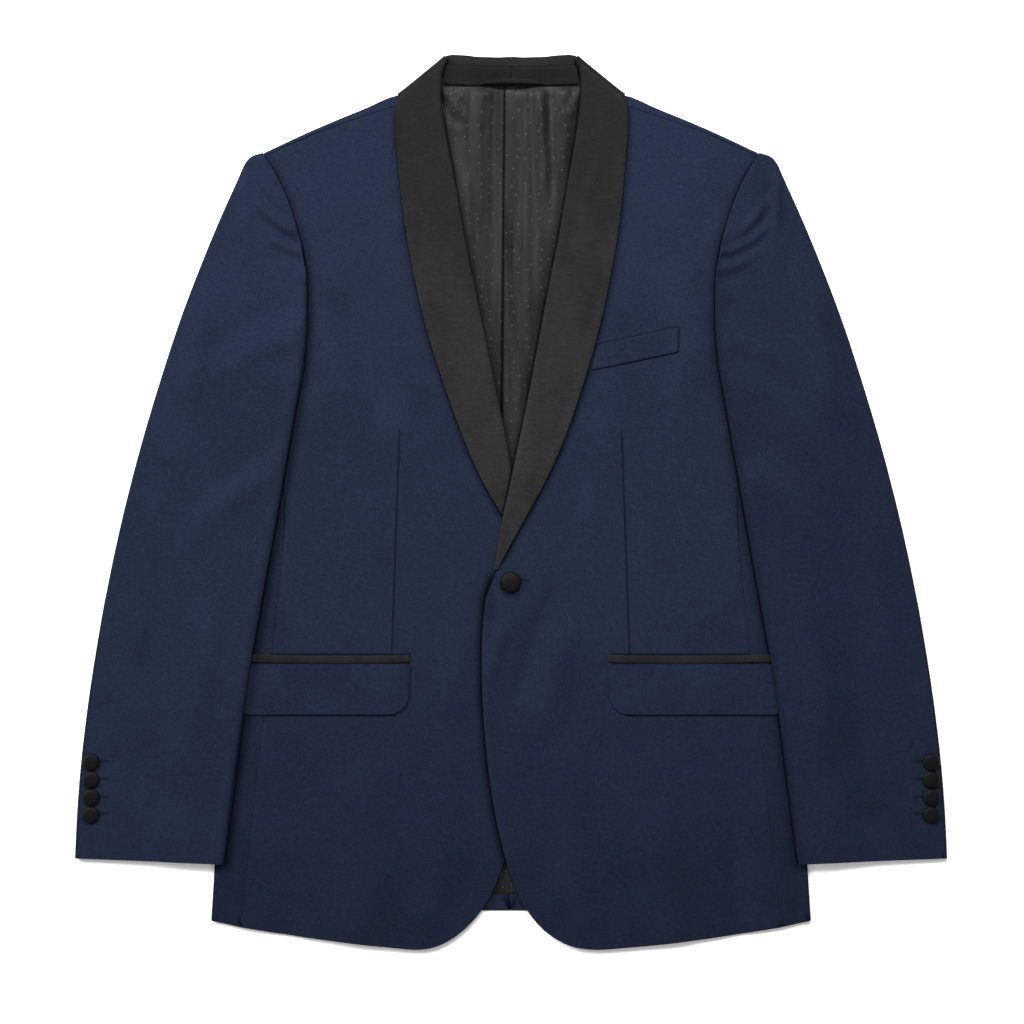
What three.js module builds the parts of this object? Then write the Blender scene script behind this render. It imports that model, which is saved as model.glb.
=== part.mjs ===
// A dinner jacket with a satin shawl collar, laid flat on its back with its front closed.
// Units are millimetres. +X is the wearer's left side, +Y runs up the jacket to its collar,
// and +Z is up from the table, which is the plane z = 0. The origin is the middle of the
// jacket's outline on the table.
//
// Every cloth piece is a closed sheet of its cloth's thickness. Its middle surface is a grid of
// points: the plan comes from the cut edges, and the height from what the piece lies on.

import * as THREE from 'three';

// ---------------------------------------------------------------- driving sizes

const WOOL = 1.5;
const SATIN = 1.2;
const LINING = 1.0;
const RIBBON = 0.8;
const SEAM = 0.3; // between pieces that are sewn edge to edge
const REST = 0.5; // under a piece that lies on another one

const TABLE_HEIGHT = WOOL / 2; // middle of the wool that lies on the table
const FALL_HEIGHT = SATIN / 2; // middle of the collar fall that lies on the table
const SIDE_HEIGHT = 4.5; // middle of the upper wool at the side folds
const CENTRE_HEIGHT = 5.8; // middle of the fronts over the lining
const NECK_LIFT = 1.5; // how much higher the fronts lie at the neck
const HEM_DROP = 0.7;
const ON_WOOL = WOOL / 2 + REST; // from a wool layer's middle to the underside of the next piece

const ROLL_DEPTH = ON_WOOL + SATIN / 2; // from a front's middle to its satin's middle
const FACING_WIDTH = 9; // satin turned under the front at the roll line
const FACING_AT_SHOULDER = [2, 6]; // its narrower first rows
const SLEEVE_FULLNESS = 1.5; // extra height in the middle of a sleeve
const FOREARM_SEAM = 16; // from a sleeve's inner fold to the seam underneath

const FLAP_CORNER = 9;
const FLAP_TOP = -148.4;
const FLAP_BOTTOM = -195.6;
const JET_TOP = -140.6;
const JET_BOTTOM = -147.2;
const POCKET_FAR_END = 240; // at the top, under the sleeve
const POCKET_LEAN = 7.5; // how much further out the flap goes at its bottom

const FRONT_BUTTON = { x: -0.6, y: -73.6, radius: 9.8, height: 4.6 };
const CUFF_BUTTON = { x: 386.4, ys: [-239.3, -255.5, -271.6, -287.8], radius: 7.9, height: 3.4 };

const SIDES = { left: 1, right: -1 };

// ---------------------------------------------------------------- cut edges

// x is measured outwards from the centre line on each side, so negative values cross it.
// Pieces that are sewn together share the rows of one table, so their edges match.
const table = (names, rows) => {
  const keys = names.split(' ');
  return rows.map((row) => Object.fromEntries(keys.map((key, k) => [key, row[k]])));
};

// Shawl collar, a row for each section: the roll line and the outer edge on each side.
const LAPEL = table('rollY edgeY rollLeft rollRight edgeLeft edgeRight', [
  [410, 375.6, 60.4, 60.0, 105.6, 105.0],
  [396, 362, 63.2, 62.2, 107.3, 106.4],
  [382, 352, 63.9, 63.6, 107.5, 106.7],
  [362, 344, 62.9, 63.0, 107.4, 106.6],
  [337, 337, 59.2, 59.0, 107.2, 106.4],
  [300, 300, 52.5, 51.0, 104.3, 103.0],
  [250, 250, 44.6, 42.9, 99.4, 97.5],
  [200, 200, 34.5, 32.7, 90.3, 88.0],
  [160, 160, 27.0, 24.7, 81.5, 78.5],
  [120, 120, 19.8, 16.4, 70.5, 66.0],
  [80, 80, 11.8, 8.1, 57.3, 51.8],
  [60, 60, 7.6, 4.0, 50.0, 44.4],
  [45, 45, 4.4, 1.2, 43.9, 38.3],
  [30, 30, 1.3, -1.4, 37.1, 31.6],
  [15, 15, -1.8, -4.1, 29.6, 24.1],
  [0, 0, -5.2, -6.9, 21.4, 15.5],
  [-15, -15, -8.7, -9.8, 13.0, 6.4],
  [-30, -30, -11.2, -12.8, 4.8, -2.1],
  [-47, -47, -14.1, -16.2, -4.7, -10.6],
  [-62, -62, -16.4, -19.2, -12.2, -14.9],
]);

// Front edge from the end of the roll line to the foot of the rounded corner.
const FRONT_EDGE = table('y left right', [
  [-72, -18.9, -20.5], [-90, -24.3, -22.6], [-127, -27.2, -23.5], [-182, -26.7, -22.0],
  [-240, -22.0, -16.0], [-285, -15.5, -8.0], [-325, -6.6, 3.6], [-356, 4.4, 15.6],
  [-374, 13.0, 25.2], [-390, 25.2, 38.8], [-401, 38.5, 52.0], [-408.5, 52.5, 65.5],
  [-411.6, 66.0, 77.0], [-412.3, 82.0, 88.6],
]);
const FRONT_HEM = table('y x', [[-408.4, 129], [-403, 175], [-398, 211], [-391.6, 248.6]]);

// Shoulder line, and how far the back's cloth comes over it to the shoulder seam.
const SHOULDER = table('x y strip', [
  [82, 380.5, 12], [110, 371.8, 9.6], [150, 357, 6.0], [192, 339.2, 3.8], [228.4, 321.4, 3.4],
]);

// Armhole seam on the upper side: it shows down to the fold of the sleeve, then turns under it.
const ARMHOLE = table('y x', [
  [317.6, 228.4], [303, 216.2], [278, 204.7], [241, 193.2], [216, 188.7], [190, 190.5],
  [164, 200], [143, 217],
]);
const SIDE_SEAM = table('y x', [
  [131, 231.6], [85, 221], [36, 210.5], [-12, 207.5], [-67, 212], [-140, 220], [-225, 230.5],
  [-315, 240.5], [-391.6, 248.6],
]);
const SIDE_FOLD = table('y x', [
  [117, 266], [70, 259], [20, 252.5], [-30, 249.4], [-85, 251], [-150, 258.5], [-225, 267],
  [-310, 272], [-385.8, 276.6],
]);
const BACK_ARMHOLE = table('y x', [
  [317, 228.2], [300, 220.5], [270, 213.6], [230, 210], [190, 214], [152, 227.6],
]);
const BACK_SEAM = table('y x', [
  [148, 228], [100, 217], [50, 207], [-12, 200], [-67, 199.5], [-140, 208], [-220, 216],
  [-310, 224], [-383, 232],
]);

// Sleeve, a row for each section: the armhole seam and then the inner fold, and the outer fold.
const SLEEVE = table('innerY innerX outerY outerX', [
  [317.9, 227.8, 322.1, 230.6], [303, 216.7, 319.4, 239], [278, 205.1, 313.2, 245.6],
  [241, 193.5, 300, 250.6], [216, 188.4, 280, 260], [190, 187.4, 250, 273.2],
  [160, 187.2, 210, 289.5], [125, 190.2, 165, 306.5], [90, 196.6, 120, 321],
  [45, 204.4, 66, 337.6], [0, 212.2, 12, 352], [-45, 219.9, -40, 364.3],
  [-95, 229.1, -95, 375.5], [-150, 238.8, -150, 384.8], [-200, 246, -199, 391.8],
  [-250, 253.5, -248, 397.3], [-295, 259.5, -292, 400.4], [-333, 263.3, -328, 401.8],
]);
const FIRST_FOLDED_ROW = 4;
const TIGHT_FOLD = 1.9; // between the layers where the inner fold begins
// Where the underside of the sleeve starts, beside the back armhole and round the underarm.
// Below these rows it starts at the forearm seam.
const UNDERARM = table('y x', [
  [317.2, 229.3], [300, 221.8], [270, 214.8], [231, 211.3], [200, 214.4], [172, 222.2],
  [140, 240], [112, 228.4],
]);
// The front armhole where the sleeve hides it, as the height at which the sleeve clears it.
const SLEEVE_CLEARS = table('x y', [
  [188, 215], [192, 190], [200, 165], [217, 144], [234, 134], [266, 118],
]);

const PLEAT = table('y edge tuck', [
  [382.3, -6, -14], [366, -6.2, -14], [350, -6.4, -14], [334, -6.6, -14], [300, -7, -14],
  [230, -7.7, -14], [165, -8.3, -14], [130, -8.7, SEAM], [100, -9, SEAM], [40, -9, SEAM],
  [-240, -7, SEAM], [-360, -6, SEAM],
]);
const LINING_SIDE = table('y x', [
  [382.3, 76], [366, 80], [350, 84], [334, 88], [300, 94], [230, 95], [165, 95], [130, 95],
  [100, 95], [40, 95], [-240, 86], [-360, 62],
]);

const COLLAR = table('x top crease seam', [
  [0, 408.0, 400.8, 382.8], [16, 408.4, 400.9, 382.8], [32, 409.6, 401.3, 383.6],
  [46, 411.6, 402.0, 384.2], [54, 412.3, 402.8, 384.8], [58.8, 411.2, 403.4, 385.0],
]);

// ---------------------------------------------------------------- curves and grids

const { lerp, clamp } = THREE.MathUtils;

const ramp = (value, from, to) => {
  const t = clamp((value - from) / (to - from), 0, 1);
  return t * t * (3 - 2 * t);
};

// A column of a table whose key column falls or rises steadily, read between its rows.
function lookUp(rows, column, at, key = 'y') {
  const sign = Math.sign(rows[1][key] - rows[0][key]);
  let k = 1;
  while (k < rows.length - 1 && sign * (at - rows[k][key]) > 0) k += 1;
  const [before, after] = [rows[k - 1], rows[k]];
  const t = clamp((at - before[key]) / (after[key] - before[key]), 0, 1);
  return lerp(before[column], after[column], t);
}

const flat = (x, y) => new THREE.Vector3(x, y, 0);
const atHeight = (point, z) => new THREE.Vector3(point.x, point.y, z);
const pointsOf = (rows, x = 'x', y = 'y') => rows.map((row) => flat(row[x], row[y]));

// A point on a chain of points, at a row number that may lie between two rows.
function onChain(points, row) {
  const k = clamp(Math.floor(row), 0, points.length - 2);
  return points[k].clone().lerp(points[k + 1], row - k);
}

// Sideways direction of a chain at one of its rows, to the left of its way along.
function sideways(points, row) {
  const before = points[Math.max(0, row - 1)];
  const after = points[Math.min(points.length - 1, row + 1)];
  const along = after.clone().sub(before);
  return new THREE.Vector3(-along.y, along.x, 0).normalize();
}

const steps = (count) => Array.from({ length: count + 1 }, (_, k) => k / count);
const between = (start, end, parts) => parts.map((t) => start.clone().lerp(end, t));

// Rows of points between a left and a right chain of equally many points, blended so that the
// first and last rows follow their own curves. columns gives each row's places from 0 to 1.
function patch({ left, right, top, bottom, columns }) {
  const last = left.length - 1;
  return left.map((leftPoint, i) => {
    const v = i / last;
    return columns(leftPoint, right[i]).map((u) => {
      const point = leftPoint.clone().lerp(right[i], u);
      const topBow = top(u).sub(left[0].clone().lerp(right[0], u));
      const bottomBow = bottom(u).sub(left[last].clone().lerp(right[last], u));
      return point.addScaledVector(topBow, (1 - v) ** 2).addScaledVector(bottomBow, v ** 4);
    });
  });
}

// Points round a folded edge, from the lower layer at -90 degrees to the upper one at +90.
function fold(edgePoint, outwards, low, high, thickness, degrees) {
  const radius = (high - low) / 2;
  const centre = edgePoint.clone().addScaledVector(outwards, -radius - thickness / 2);
  return degrees.map((degree) => {
    const angle = THREE.MathUtils.degToRad(degree);
    const normal = outwards.clone().multiplyScalar(Math.cos(angle)).setZ(Math.sin(angle));
    const point = centre.clone().addScaledVector(outwards, radius * Math.cos(angle));
    point.z = (low + high) / 2 + radius * Math.sin(angle);
    point.normal = normal;
    return point;
  });
}

const HALF_TURN = [-90, -30, 30, 90];
const foldInset = (low, high, thickness) => (high - low) / 2 + thickness / 2;

// ---------------------------------------------------------------- solids

const object = new THREE.Group();

function add(name, positions, triangles, material) {
  const geometry = new THREE.BufferGeometry();
  geometry.setAttribute('position', new THREE.Float32BufferAttribute(positions.flat(), 3));
  geometry.setIndex(triangles.flat());
  geometry.computeVertexNormals();
  const mesh = new THREE.Mesh(geometry, material);
  mesh.name = name;
  object.add(mesh);
}

function volume(positions, triangles) {
  const [a, b, c] = [new THREE.Vector3(), new THREE.Vector3(), new THREE.Vector3()];
  let sum = 0;
  for (const [i, j, k] of triangles) {
    a.fromArray(positions[i]);
    b.fromArray(positions[j]);
    c.fromArray(positions[k]);
    sum += a.dot(b.cross(c));
  }
  return sum;
}

// A quad is split along its longer diagonal.
function splitQuad(positions, [a, b, c, d]) {
  const length = (i, j) => Math.hypot(...positions[i].map((value, k) => value - positions[j][k]));
  return length(a, c) >= length(b, d) ? [[a, b, c], [a, c, d]] : [[a, b, d], [b, c, d]];
}

// A closed sheet round a grid of middle points. Points may be missing where the cloth is cut away.
function sheet(name, grid, thickness, material, sign = 1) {
  const width = grid[0].length;
  const mirror = new THREE.Vector3(sign, 1, 1);
  const points = grid.flat().map((point) => point && point.clone().multiply(mirror));
  const known = grid.flat().map((point) => point?.normal?.clone().multiply(mirror));
  const cells = [];
  for (let i = 0; i < grid.length - 1; i += 1) {
    for (let j = 0; j < width - 1; j += 1) {
      const k = i * width + j;
      const cell = [k, k + 1, k + width + 1, k + width];
      if (cell.every((corner) => points[corner])) cells.push(cell);
    }
  }
  const normals = points.map(() => new THREE.Vector3());
  const edges = new Set();
  for (const cell of cells) {
    const [p, q, r, s] = cell.map((corner) => points[corner]);
    const normal = r.clone().sub(p).cross(s.clone().sub(q)).normalize();
    cell.forEach((corner, k) => {
      normals[corner].add(normal);
      edges.add(`${corner}>${cell[(k + 1) % 4]}`);
    });
  }
  const number = new Map();
  const positions = [];
  for (const corner of new Set(cells.flat())) {
    number.set(corner, positions.length);
    const normal = normals[corner].normalize();
    if (known[corner]) normal.copy(known[corner].multiplyScalar(Math.sign(normal.dot(known[corner]))));
    const half = normal.multiplyScalar(thickness / 2);
    positions.push(points[corner].clone().add(half).toArray());
    positions.push(points[corner].clone().sub(half).toArray());
  }
  const quads = [];
  for (const cell of cells) {
    const face = cell.map((corner) => number.get(corner));
    quads.push(face);
    quads.push(face.map((corner) => corner + 1).reverse());
    cell.forEach((start, k) => {
      const end = cell[(k + 1) % 4];
      if (edges.has(`${end}>${start}`)) return;
      const [a, b] = [number.get(start), number.get(end)];
      quads.push([b, a, a + 1, b + 1]);
    });
  }
  let triangles = quads.flatMap((quad) => splitQuad(positions, quad));
  if (volume(positions, triangles) < 0) triangles = triangles.map(([a, b, c]) => [a, c, b]);
  add(name, positions, triangles, material);
}

// A covered button: a disc with a soft edge and a slightly domed face.
function button(name, x, y, bottom, { radius, height }, material) {
  const profile = [
    [0, 0], [0.72, 0], [0.92, 0.16], [1, 0.42], [0.97, 0.66], [0.86, 0.86], [0.6, 0.96], [0, 1],
  ];
  const points = profile.map(([r, h]) => new THREE.Vector2(r * radius, h * height));
  const geometry = new THREE.LatheGeometry(points, 20);
  geometry.rotateX(Math.PI / 2);
  const mesh = new THREE.Mesh(geometry, material);
  mesh.name = name;
  mesh.position.set(x, y, bottom);
  object.add(mesh);
}

// ---------------------------------------------------------------- materials

const cloth = (color, roughness) => new THREE.MeshStandardMaterial({
  color,
  roughness,
  metalness: 0,
});
const wool = cloth(0x26304a, 0.85);
const satin = cloth(0x303032, 0.45);
const liningCloth = cloth(0x373639, 0.5);
const ribbon = cloth(0x1d1d1f, 0.6);
const buttonCloth = cloth(0x202022, 0.5);

// ---------------------------------------------------------------- heights of the layers

const neckZone = (x, y) => ramp(y, 316, 360) * ramp(x, 156, 114);

// Middle of the back on the table: it rides over the collar fall at the neck.
const backHeight = (x, y) => TABLE_HEIGHT + (SATIN + REST) * neckZone(x, y);

// Middle of the upper wool, with nothing but the lining and the back beneath it.
const bodyHeight = (x, y) => (
  lerp(SIDE_HEIGHT, CENTRE_HEIGHT, ramp(x, 185, 120))
  + NECK_LIFT * neckZone(x, y)
  - HEM_DROP * ramp(y, -300, -400)
);

// The left front lies over the right one and its lapel, and rises to them in a soft slope.
const OVERLAP_SLOPE = 60;
const SATIN_ON_FRONT = REST + SATIN + 0.15;

function overlapLift(x, y) {
  const underEdge = y > -66 ? lookUp(LAPEL, 'rollRight', y, 'rollY') : lookUp(FRONT_EDGE, 'right', y);
  const overFront = ramp(x, OVERLAP_SLOPE - underEdge, 3 - underEdge);
  const lapelOuter = -lookUp(LAPEL, 'edgeRight', y, 'edgeY');
  const overLapel = overFront * ramp(x, lapelOuter - 26, lapelOuter - 3) * ramp(y, -124, -78);
  const ownRoll = lookUp(LAPEL, 'rollLeft', y, 'rollY');
  const overFacing = overFront * ramp(x, ownRoll + OVERLAP_SLOPE, ownRoll + 14) * ramp(y, -118, -74);
  return overFront * (WOOL + REST + 0.15) + (overLapel + overFacing) * SATIN_ON_FRONT;
}

const frontHeight = {
  left: (x, y) => bodyHeight(x, y) + overlapLift(x, y),
  right: bodyHeight,
};

// How far a sleeve is carried by the body: 1 on the body, 0 beside it. The lower layer steps
// over the armhole, and the upper one runs over it in a long slope.
const SLEEVE_SLOPE = 42;

function sleeveCarried(x, y, { above, below }) {
  const inside = lookUp(SIDE_FOLD, 'x', y) - x;
  const clearance = lookUp(SLEEVE_CLEARS, 'y', x, 'x') - y;
  return ramp(inside, -SLEEVE_SLOPE - 20, -20) * ramp(clearance, -above, -below);
}

const onBody = (x, y) => bodyHeight(x, y) + ON_WOOL + WOOL / 2
  + (WOOL + REST) * ramp(y, -100, -134) * ramp(y, -236, -202);

const sleeveUnder = (x, y) => lerp(
  TABLE_HEIGHT,
  onBody(x, y),
  sleeveCarried(x, y, { above: 50, below: 28 }),
);

// across runs from 0 at the inner fold to 1 at the outer one.
const sleeveTop = (x, y, across) => lerp(
  TABLE_HEIGHT,
  onBody(x, y),
  sleeveCarried(x, y, { above: 62, below: -6 }),
) + (SIDE_HEIGHT - TABLE_HEIGHT) + SLEEVE_FULLNESS * Math.sin(Math.PI * across);

// ---------------------------------------------------------------- body

const BACK_CENTRE_ROWS = [382.2, 371, 359, 346, 332, 316, 296, 250, 180, 90, 10, -80, -170, -270, -376.3];
const NECK_COLUMNS = [SEAM / 2, 41];

function back(side) {
  const shoulder = pointsOf(SHOULDER);
  const folds = shoulder.map((point, k) => {
    const outwards = sideways(shoulder, k);
    const [low, high] = [backHeight(point.x, point.y), bodyHeight(point.x, point.y)];
    const around = fold(point, outwards, low, high, WOOL, HALF_TURN);
    const seam = point.clone().addScaledVector(outwards, -SHOULDER[k].strip);
    return [...around, atHeight(seam, bodyHeight(seam.x, seam.y))];
  });
  const topPoints = [
    ...NECK_COLUMNS.map((x) => flat(x, 382.2)),
    ...folds.map(([first]) => atHeight(first, 0)),
  ];
  const last = topPoints.length - 1;
  const armhole = [...pointsOf(BACK_ARMHOLE), ...pointsOf(BACK_SEAM)];
  armhole[0] = topPoints[last];
  const grid = patch({
    left: BACK_CENTRE_ROWS.map((y) => flat(SEAM / 2, y)),
    right: armhole,
    top: (u) => onChain(topPoints, Math.round(u * last)),
    bottom: (u) => flat(lerp(SEAM / 2, 232, u), -376.3 - 6.7 * u * u),
    columns: () => steps(last),
  });
  grid.forEach((row) => row.forEach((point) => point.setZ(backHeight(point.x, point.y))));
  const overShoulder = [4, 3, 2, 1].map((k) => [
    ...NECK_COLUMNS.map(() => null),
    ...folds.map((around) => around[k]),
  ]);
  sheet(`back_${side}`, [...overShoulder, ...grid], WOOL, wool, SIDES[side]);
}

function sidePanel(side) {
  const seam = pointsOf(SIDE_SEAM);
  const backSeam = pointsOf(BACK_SEAM);
  const sideFold = pointsOf(SIDE_FOLD);
  const grid = sideFold.map((point, k) => {
    const high = bodyHeight(point.x, point.y);
    const around = fold(point, sideways(sideFold, k), TABLE_HEIGHT, high, WOOL, HALF_TURN);
    const above = seam[k].clone().addScaledVector(sideways(seam, k), SEAM);
    const below = backSeam[k].clone().addScaledVector(sideways(backSeam, k), SEAM);
    return [
      atHeight(below, TABLE_HEIGHT),
      ...around,
      atHeight(above, bodyHeight(above.x, above.y)),
    ];
  });
  sheet(`side_panel_${side}`, grid, WOOL, wool, SIDES[side]);
}

// How many rows of a front lie between two rows of its side seam.
const ROWS_IN_SEAM = [3, 3, 3, 3, 3, 3, 3, 2];
const INSIDE_ROLL = SATIN + 1.6;
const NEAR_EDGE = [0, 9, 20, 33, 50];

function front(side) {
  const [roll, isLeft] = side === 'left' ? ['rollLeft', true] : ['rollRight', false];
  const shoulder = pointsOf(SHOULDER);
  const shoulderSeam = shoulder.map((point, k) => (
    point.clone().addScaledVector(sideways(shoulder, k), -SHOULDER[k].strip - 0.5)
  ));
  const sideSeam = pointsOf(SIDE_SEAM);
  const outer = [
    ...pointsOf(ARMHOLE),
    sideSeam[0],
    ...ROWS_IN_SEAM.flatMap((count, k) => steps(count).slice(1).map((t) => onChain(sideSeam, k + t))),
  ];
  outer[0] = shoulderSeam.at(-1).clone();
  const inner = [
    shoulderSeam[0].clone(),
    ...LAPEL.slice(3).map((row) => flat(row[roll] + INSIDE_ROLL, row.rollY)),
    ...FRONT_EDGE.map((row) => flat(isLeft ? row.left : row.right, row.y)),
  ];
  inner[1].x += 9;
  const hem = [inner.at(-1), ...pointsOf(FRONT_HEM)];
  const grid = patch({
    left: inner,
    right: outer,
    top: (u) => onChain(shoulderSeam, u * (shoulderSeam.length - 1)),
    bottom: (u) => onChain(hem, u * (hem.length - 1)),
    columns: (start, end) => {
      const width = start.distanceTo(end);
      const rest = [0.24, 0.48, 0.74, 1].map((t) => lerp(NEAR_EDGE.at(-1), width, t));
      return [...NEAR_EDGE, ...rest].map((distance) => distance / width);
    },
  });
  grid.forEach((row) => row.forEach((point) => point.setZ(frontHeight[side](point.x, point.y))));
  sheet(`front_${side}`, grid, WOOL, wool, SIDES[side]);
}

// The back lining has a pleat at its middle: the left half lies over the right one.
function backLining(side) {
  const isLeft = side === 'left';
  const middle = PLEAT.map((row) => flat(isLeft ? row.edge : row.tuck - row.edge, row.y));
  const outer = pointsOf(LINING_SIDE);
  const grid = patch({
    left: middle,
    right: outer,
    top: (u) => middle[0].clone().lerp(outer[0], u),
    bottom: (u) => middle.at(-1).clone().lerp(outer.at(-1), u),
    columns: () => [0, 0.16, 0.32, 0.62, 1],
  });
  grid.forEach((row) => row.forEach((point) => {
    const pleat = isLeft ? ramp(point.x, 24, 9) * ramp(point.y, 102, 128) : 0;
    const onBack = backHeight(Math.abs(point.x), point.y) + WOOL / 2 + SEAM + LINING / 2;
    point.setZ(onBack + (LINING + SEAM) * pleat);
  }));
  sheet(`back_lining_${side}`, grid, LINING, liningCloth, SIDES[side]);
}

// ---------------------------------------------------------------- shawl collar

// The satin lies on the front, rolls round its edge at the roll line and is turned under it.
// At the shoulder it folds over to the underside, where the collar fall takes over.
// Gives back where it ends underneath.
function shawlLapel(side) {
  const isLeft = side === 'left';
  const rollLine = pointsOf(LAPEL, isLeft ? 'rollLeft' : 'rollRight', 'rollY');
  const outerEdge = pointsOf(LAPEL, isLeft ? 'edgeLeft' : 'edgeRight', 'edgeY');
  const height = (point) => frontHeight[side](point.x, point.y);
  const grid = rollLine.map((roll, k) => {
    const towardsCentre = sideways(rollLine, k).negate();
    const middle = height(flat(roll.x + INSIDE_ROLL, roll.y));
    const around = fold(roll, towardsCentre, middle - ROLL_DEPTH, middle + ROLL_DEPTH, SATIN, HALF_TURN);
    const facingWidth = FACING_AT_SHOULDER[k] ?? FACING_WIDTH;
    const facing = atHeight(around[0].clone().addScaledVector(towardsCentre, -facingWidth), 0);
    const upper = between(atHeight(around.at(-1), 0), outerEdge[k], [0.22, 0.48, 0.75, 1]);
    return [
      facing.setZ(height(facing) - ROLL_DEPTH),
      ...around,
      ...upper.map((point) => atHeight(point, height(point) + ROLL_DEPTH)),
    ];
  });
  // Over the shoulder only the upper layer goes round, from the roll line to the outer edge.
  const firstUpper = HALF_TURN.length;
  const rim = grid[0].slice(firstUpper).map((point) => atHeight(point, 0));
  const outwards = sideways([rim[0], rim.at(-1)], 0);
  const rounds = rim.map((point, k) => {
    const high = grid[0][firstUpper + k].z;
    const around = fold(point, outwards, FALL_HEIGHT, high, SATIN, [90, 45, 0, -45, -90]);
    const end = around.at(-1).clone().addScaledVector(outwards, -7);
    return [...around, end];
  });
  const inset = atHeight(rounds[0][0].clone().sub(rim[0]), 0);
  grid[0].slice(0, firstUpper).forEach((point) => point.add(inset));
  rounds.forEach((around, k) => {
    grid[0][firstUpper + k] = around[0];
  });
  const overShoulder = [5, 4, 3, 2, 1].map((k) => [
    ...Array(firstUpper).fill(null),
    ...rounds.map((around) => around[k]),
  ]);
  sheet(`shawl_lapel_${side}`, [...overShoulder, ...grid], SATIN, satin, SIDES[side]);
  return rounds.map((around) => around.at(-1));
}

const standHeight = (x, depth) => lerp(
  backHeight(x, 380) + 0.4,
  lerp(4.4, 3.3, ramp(x, 30, 56)),
  ramp(depth, 0, 1),
);

const COLLAR_UNDER_LAPEL = 2.4; // its strip runs on under the lapel's roll
const COLLAR_END_SLANT = 6.6; // its fold narrows underneath, beside the shawl's own fold

// The collar at the back neck: a satin strip that folds over the top and falls down underneath.
function backCollar(side, lapelEnd) {
  const topLine = pointsOf(COLLAR, 'x', 'top');
  topLine[0].x = SEAM / 2;
  const outwards = sideways([lapelEnd[0], lapelEnd.at(-1)], 0);
  const fallLine = lapelEnd.map((point) => point.clone().addScaledVector(outwards, -SEAM - 0.2));
  const grid = topLine.map((point, k) => {
    const u = k / (topLine.length - 1);
    const high = standHeight(point.x, 1);
    const around = fold(point, sideways(topLine, k), FALL_HEIGHT, high, SATIN, HALF_TURN);
    const startX = point.x + COLLAR_UNDER_LAPEL * ramp(u, 0.75, 1);
    const start = new THREE.Vector3(startX, COLLAR[k].crease + SEAM / 2, high);
    const slant = COLLAR_END_SLANT * clamp((u - 0.4) / 0.6, 0, 1);
    around.forEach((turned) => {
      turned.x -= slant * (high - turned.z) / (high - FALL_HEIGHT);
    });
    const end = fallLine.at(-1);
    const outer = flat(lerp(SEAM / 2, end.x, u), lerp(364, end.y, u * u)).setZ(FALL_HEIGHT);
    const falls = between(around[0], outer, [0.18, 0.4, 0.6, 0.8, 1]);
    const below = falls.map((fallPoint, row) => fallPoint.lerp(fallLine[row], ramp(u, 0.5, 1)));
    return [start, ...around.reverse(), ...below];
  });
  sheet(`back_collar_${side}`, grid, SATIN, satin, SIDES[side]);
}

function collarStand(side) {
  const grid = [0, 14, 28, 42, 56, 62].map((column) => {
    const x = Math.max(SEAM / 2, column);
    const low = lookUp(COLLAR, 'seam', x, 'x');
    const high = lookUp(COLLAR, 'crease', x, 'x') - SEAM / 2;
    return [0, 0.35, 0.7, 1].map((depth) => (
      new THREE.Vector3(x, lerp(low, high, depth), standHeight(x, depth))
    ));
  });
  sheet(`collar_stand_${side}`, grid, SATIN, satin, SIDES[side]);
}

function hangerLoop() {
  const halfLength = 30;
  const grid = steps(10).map((t) => {
    const x = lerp(-halfLength, halfLength, t);
    const arch = Math.sin(Math.PI * t) ** 0.35;
    const bottom = 383.9 + 1.0 * arch;
    return [0, 1].map((across) => {
      const y = bottom + across * (1 + 3.4 * arch);
      const depth = (y - 382.8) / 18;
      return new THREE.Vector3(x, y, standHeight(Math.abs(x), depth) + SATIN / 2 + SEAM + RIBBON / 2);
    });
  });
  sheet('hanger_loop', grid, RIBBON, ribbon);
}

// ---------------------------------------------------------------- sleeves

const SLEEVE_INNER = pointsOf(SLEEVE, 'innerX', 'innerY');
const SLEEVE_OUTER = pointsOf(SLEEVE, 'outerX', 'outerY');
const FOREARM = SLEEVE_INNER.map((point, row) => (
  point.clone().addScaledVector(sideways(SLEEVE_INNER, row), FOREARM_SEAM + SEAM)
));
const SLEEVE_UNDER = [...pointsOf(UNDERARM), ...FOREARM.slice(UNDERARM.length)];

// The elbow seam lies underneath at the shoulder and comes up beside the cuff buttons.
const elbowSeam = (row) => lerp(-25, 76, ramp(row, 8, 14));

function outerFold(row, degrees) {
  const outer = SLEEVE_OUTER[row];
  const low = sleeveUnder(outer.x, outer.y);
  const high = sleeveTop(outer.x, outer.y, 1);
  return fold(outer, sideways(SLEEVE_OUTER, row), low, high, WOOL, degrees);
}

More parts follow.
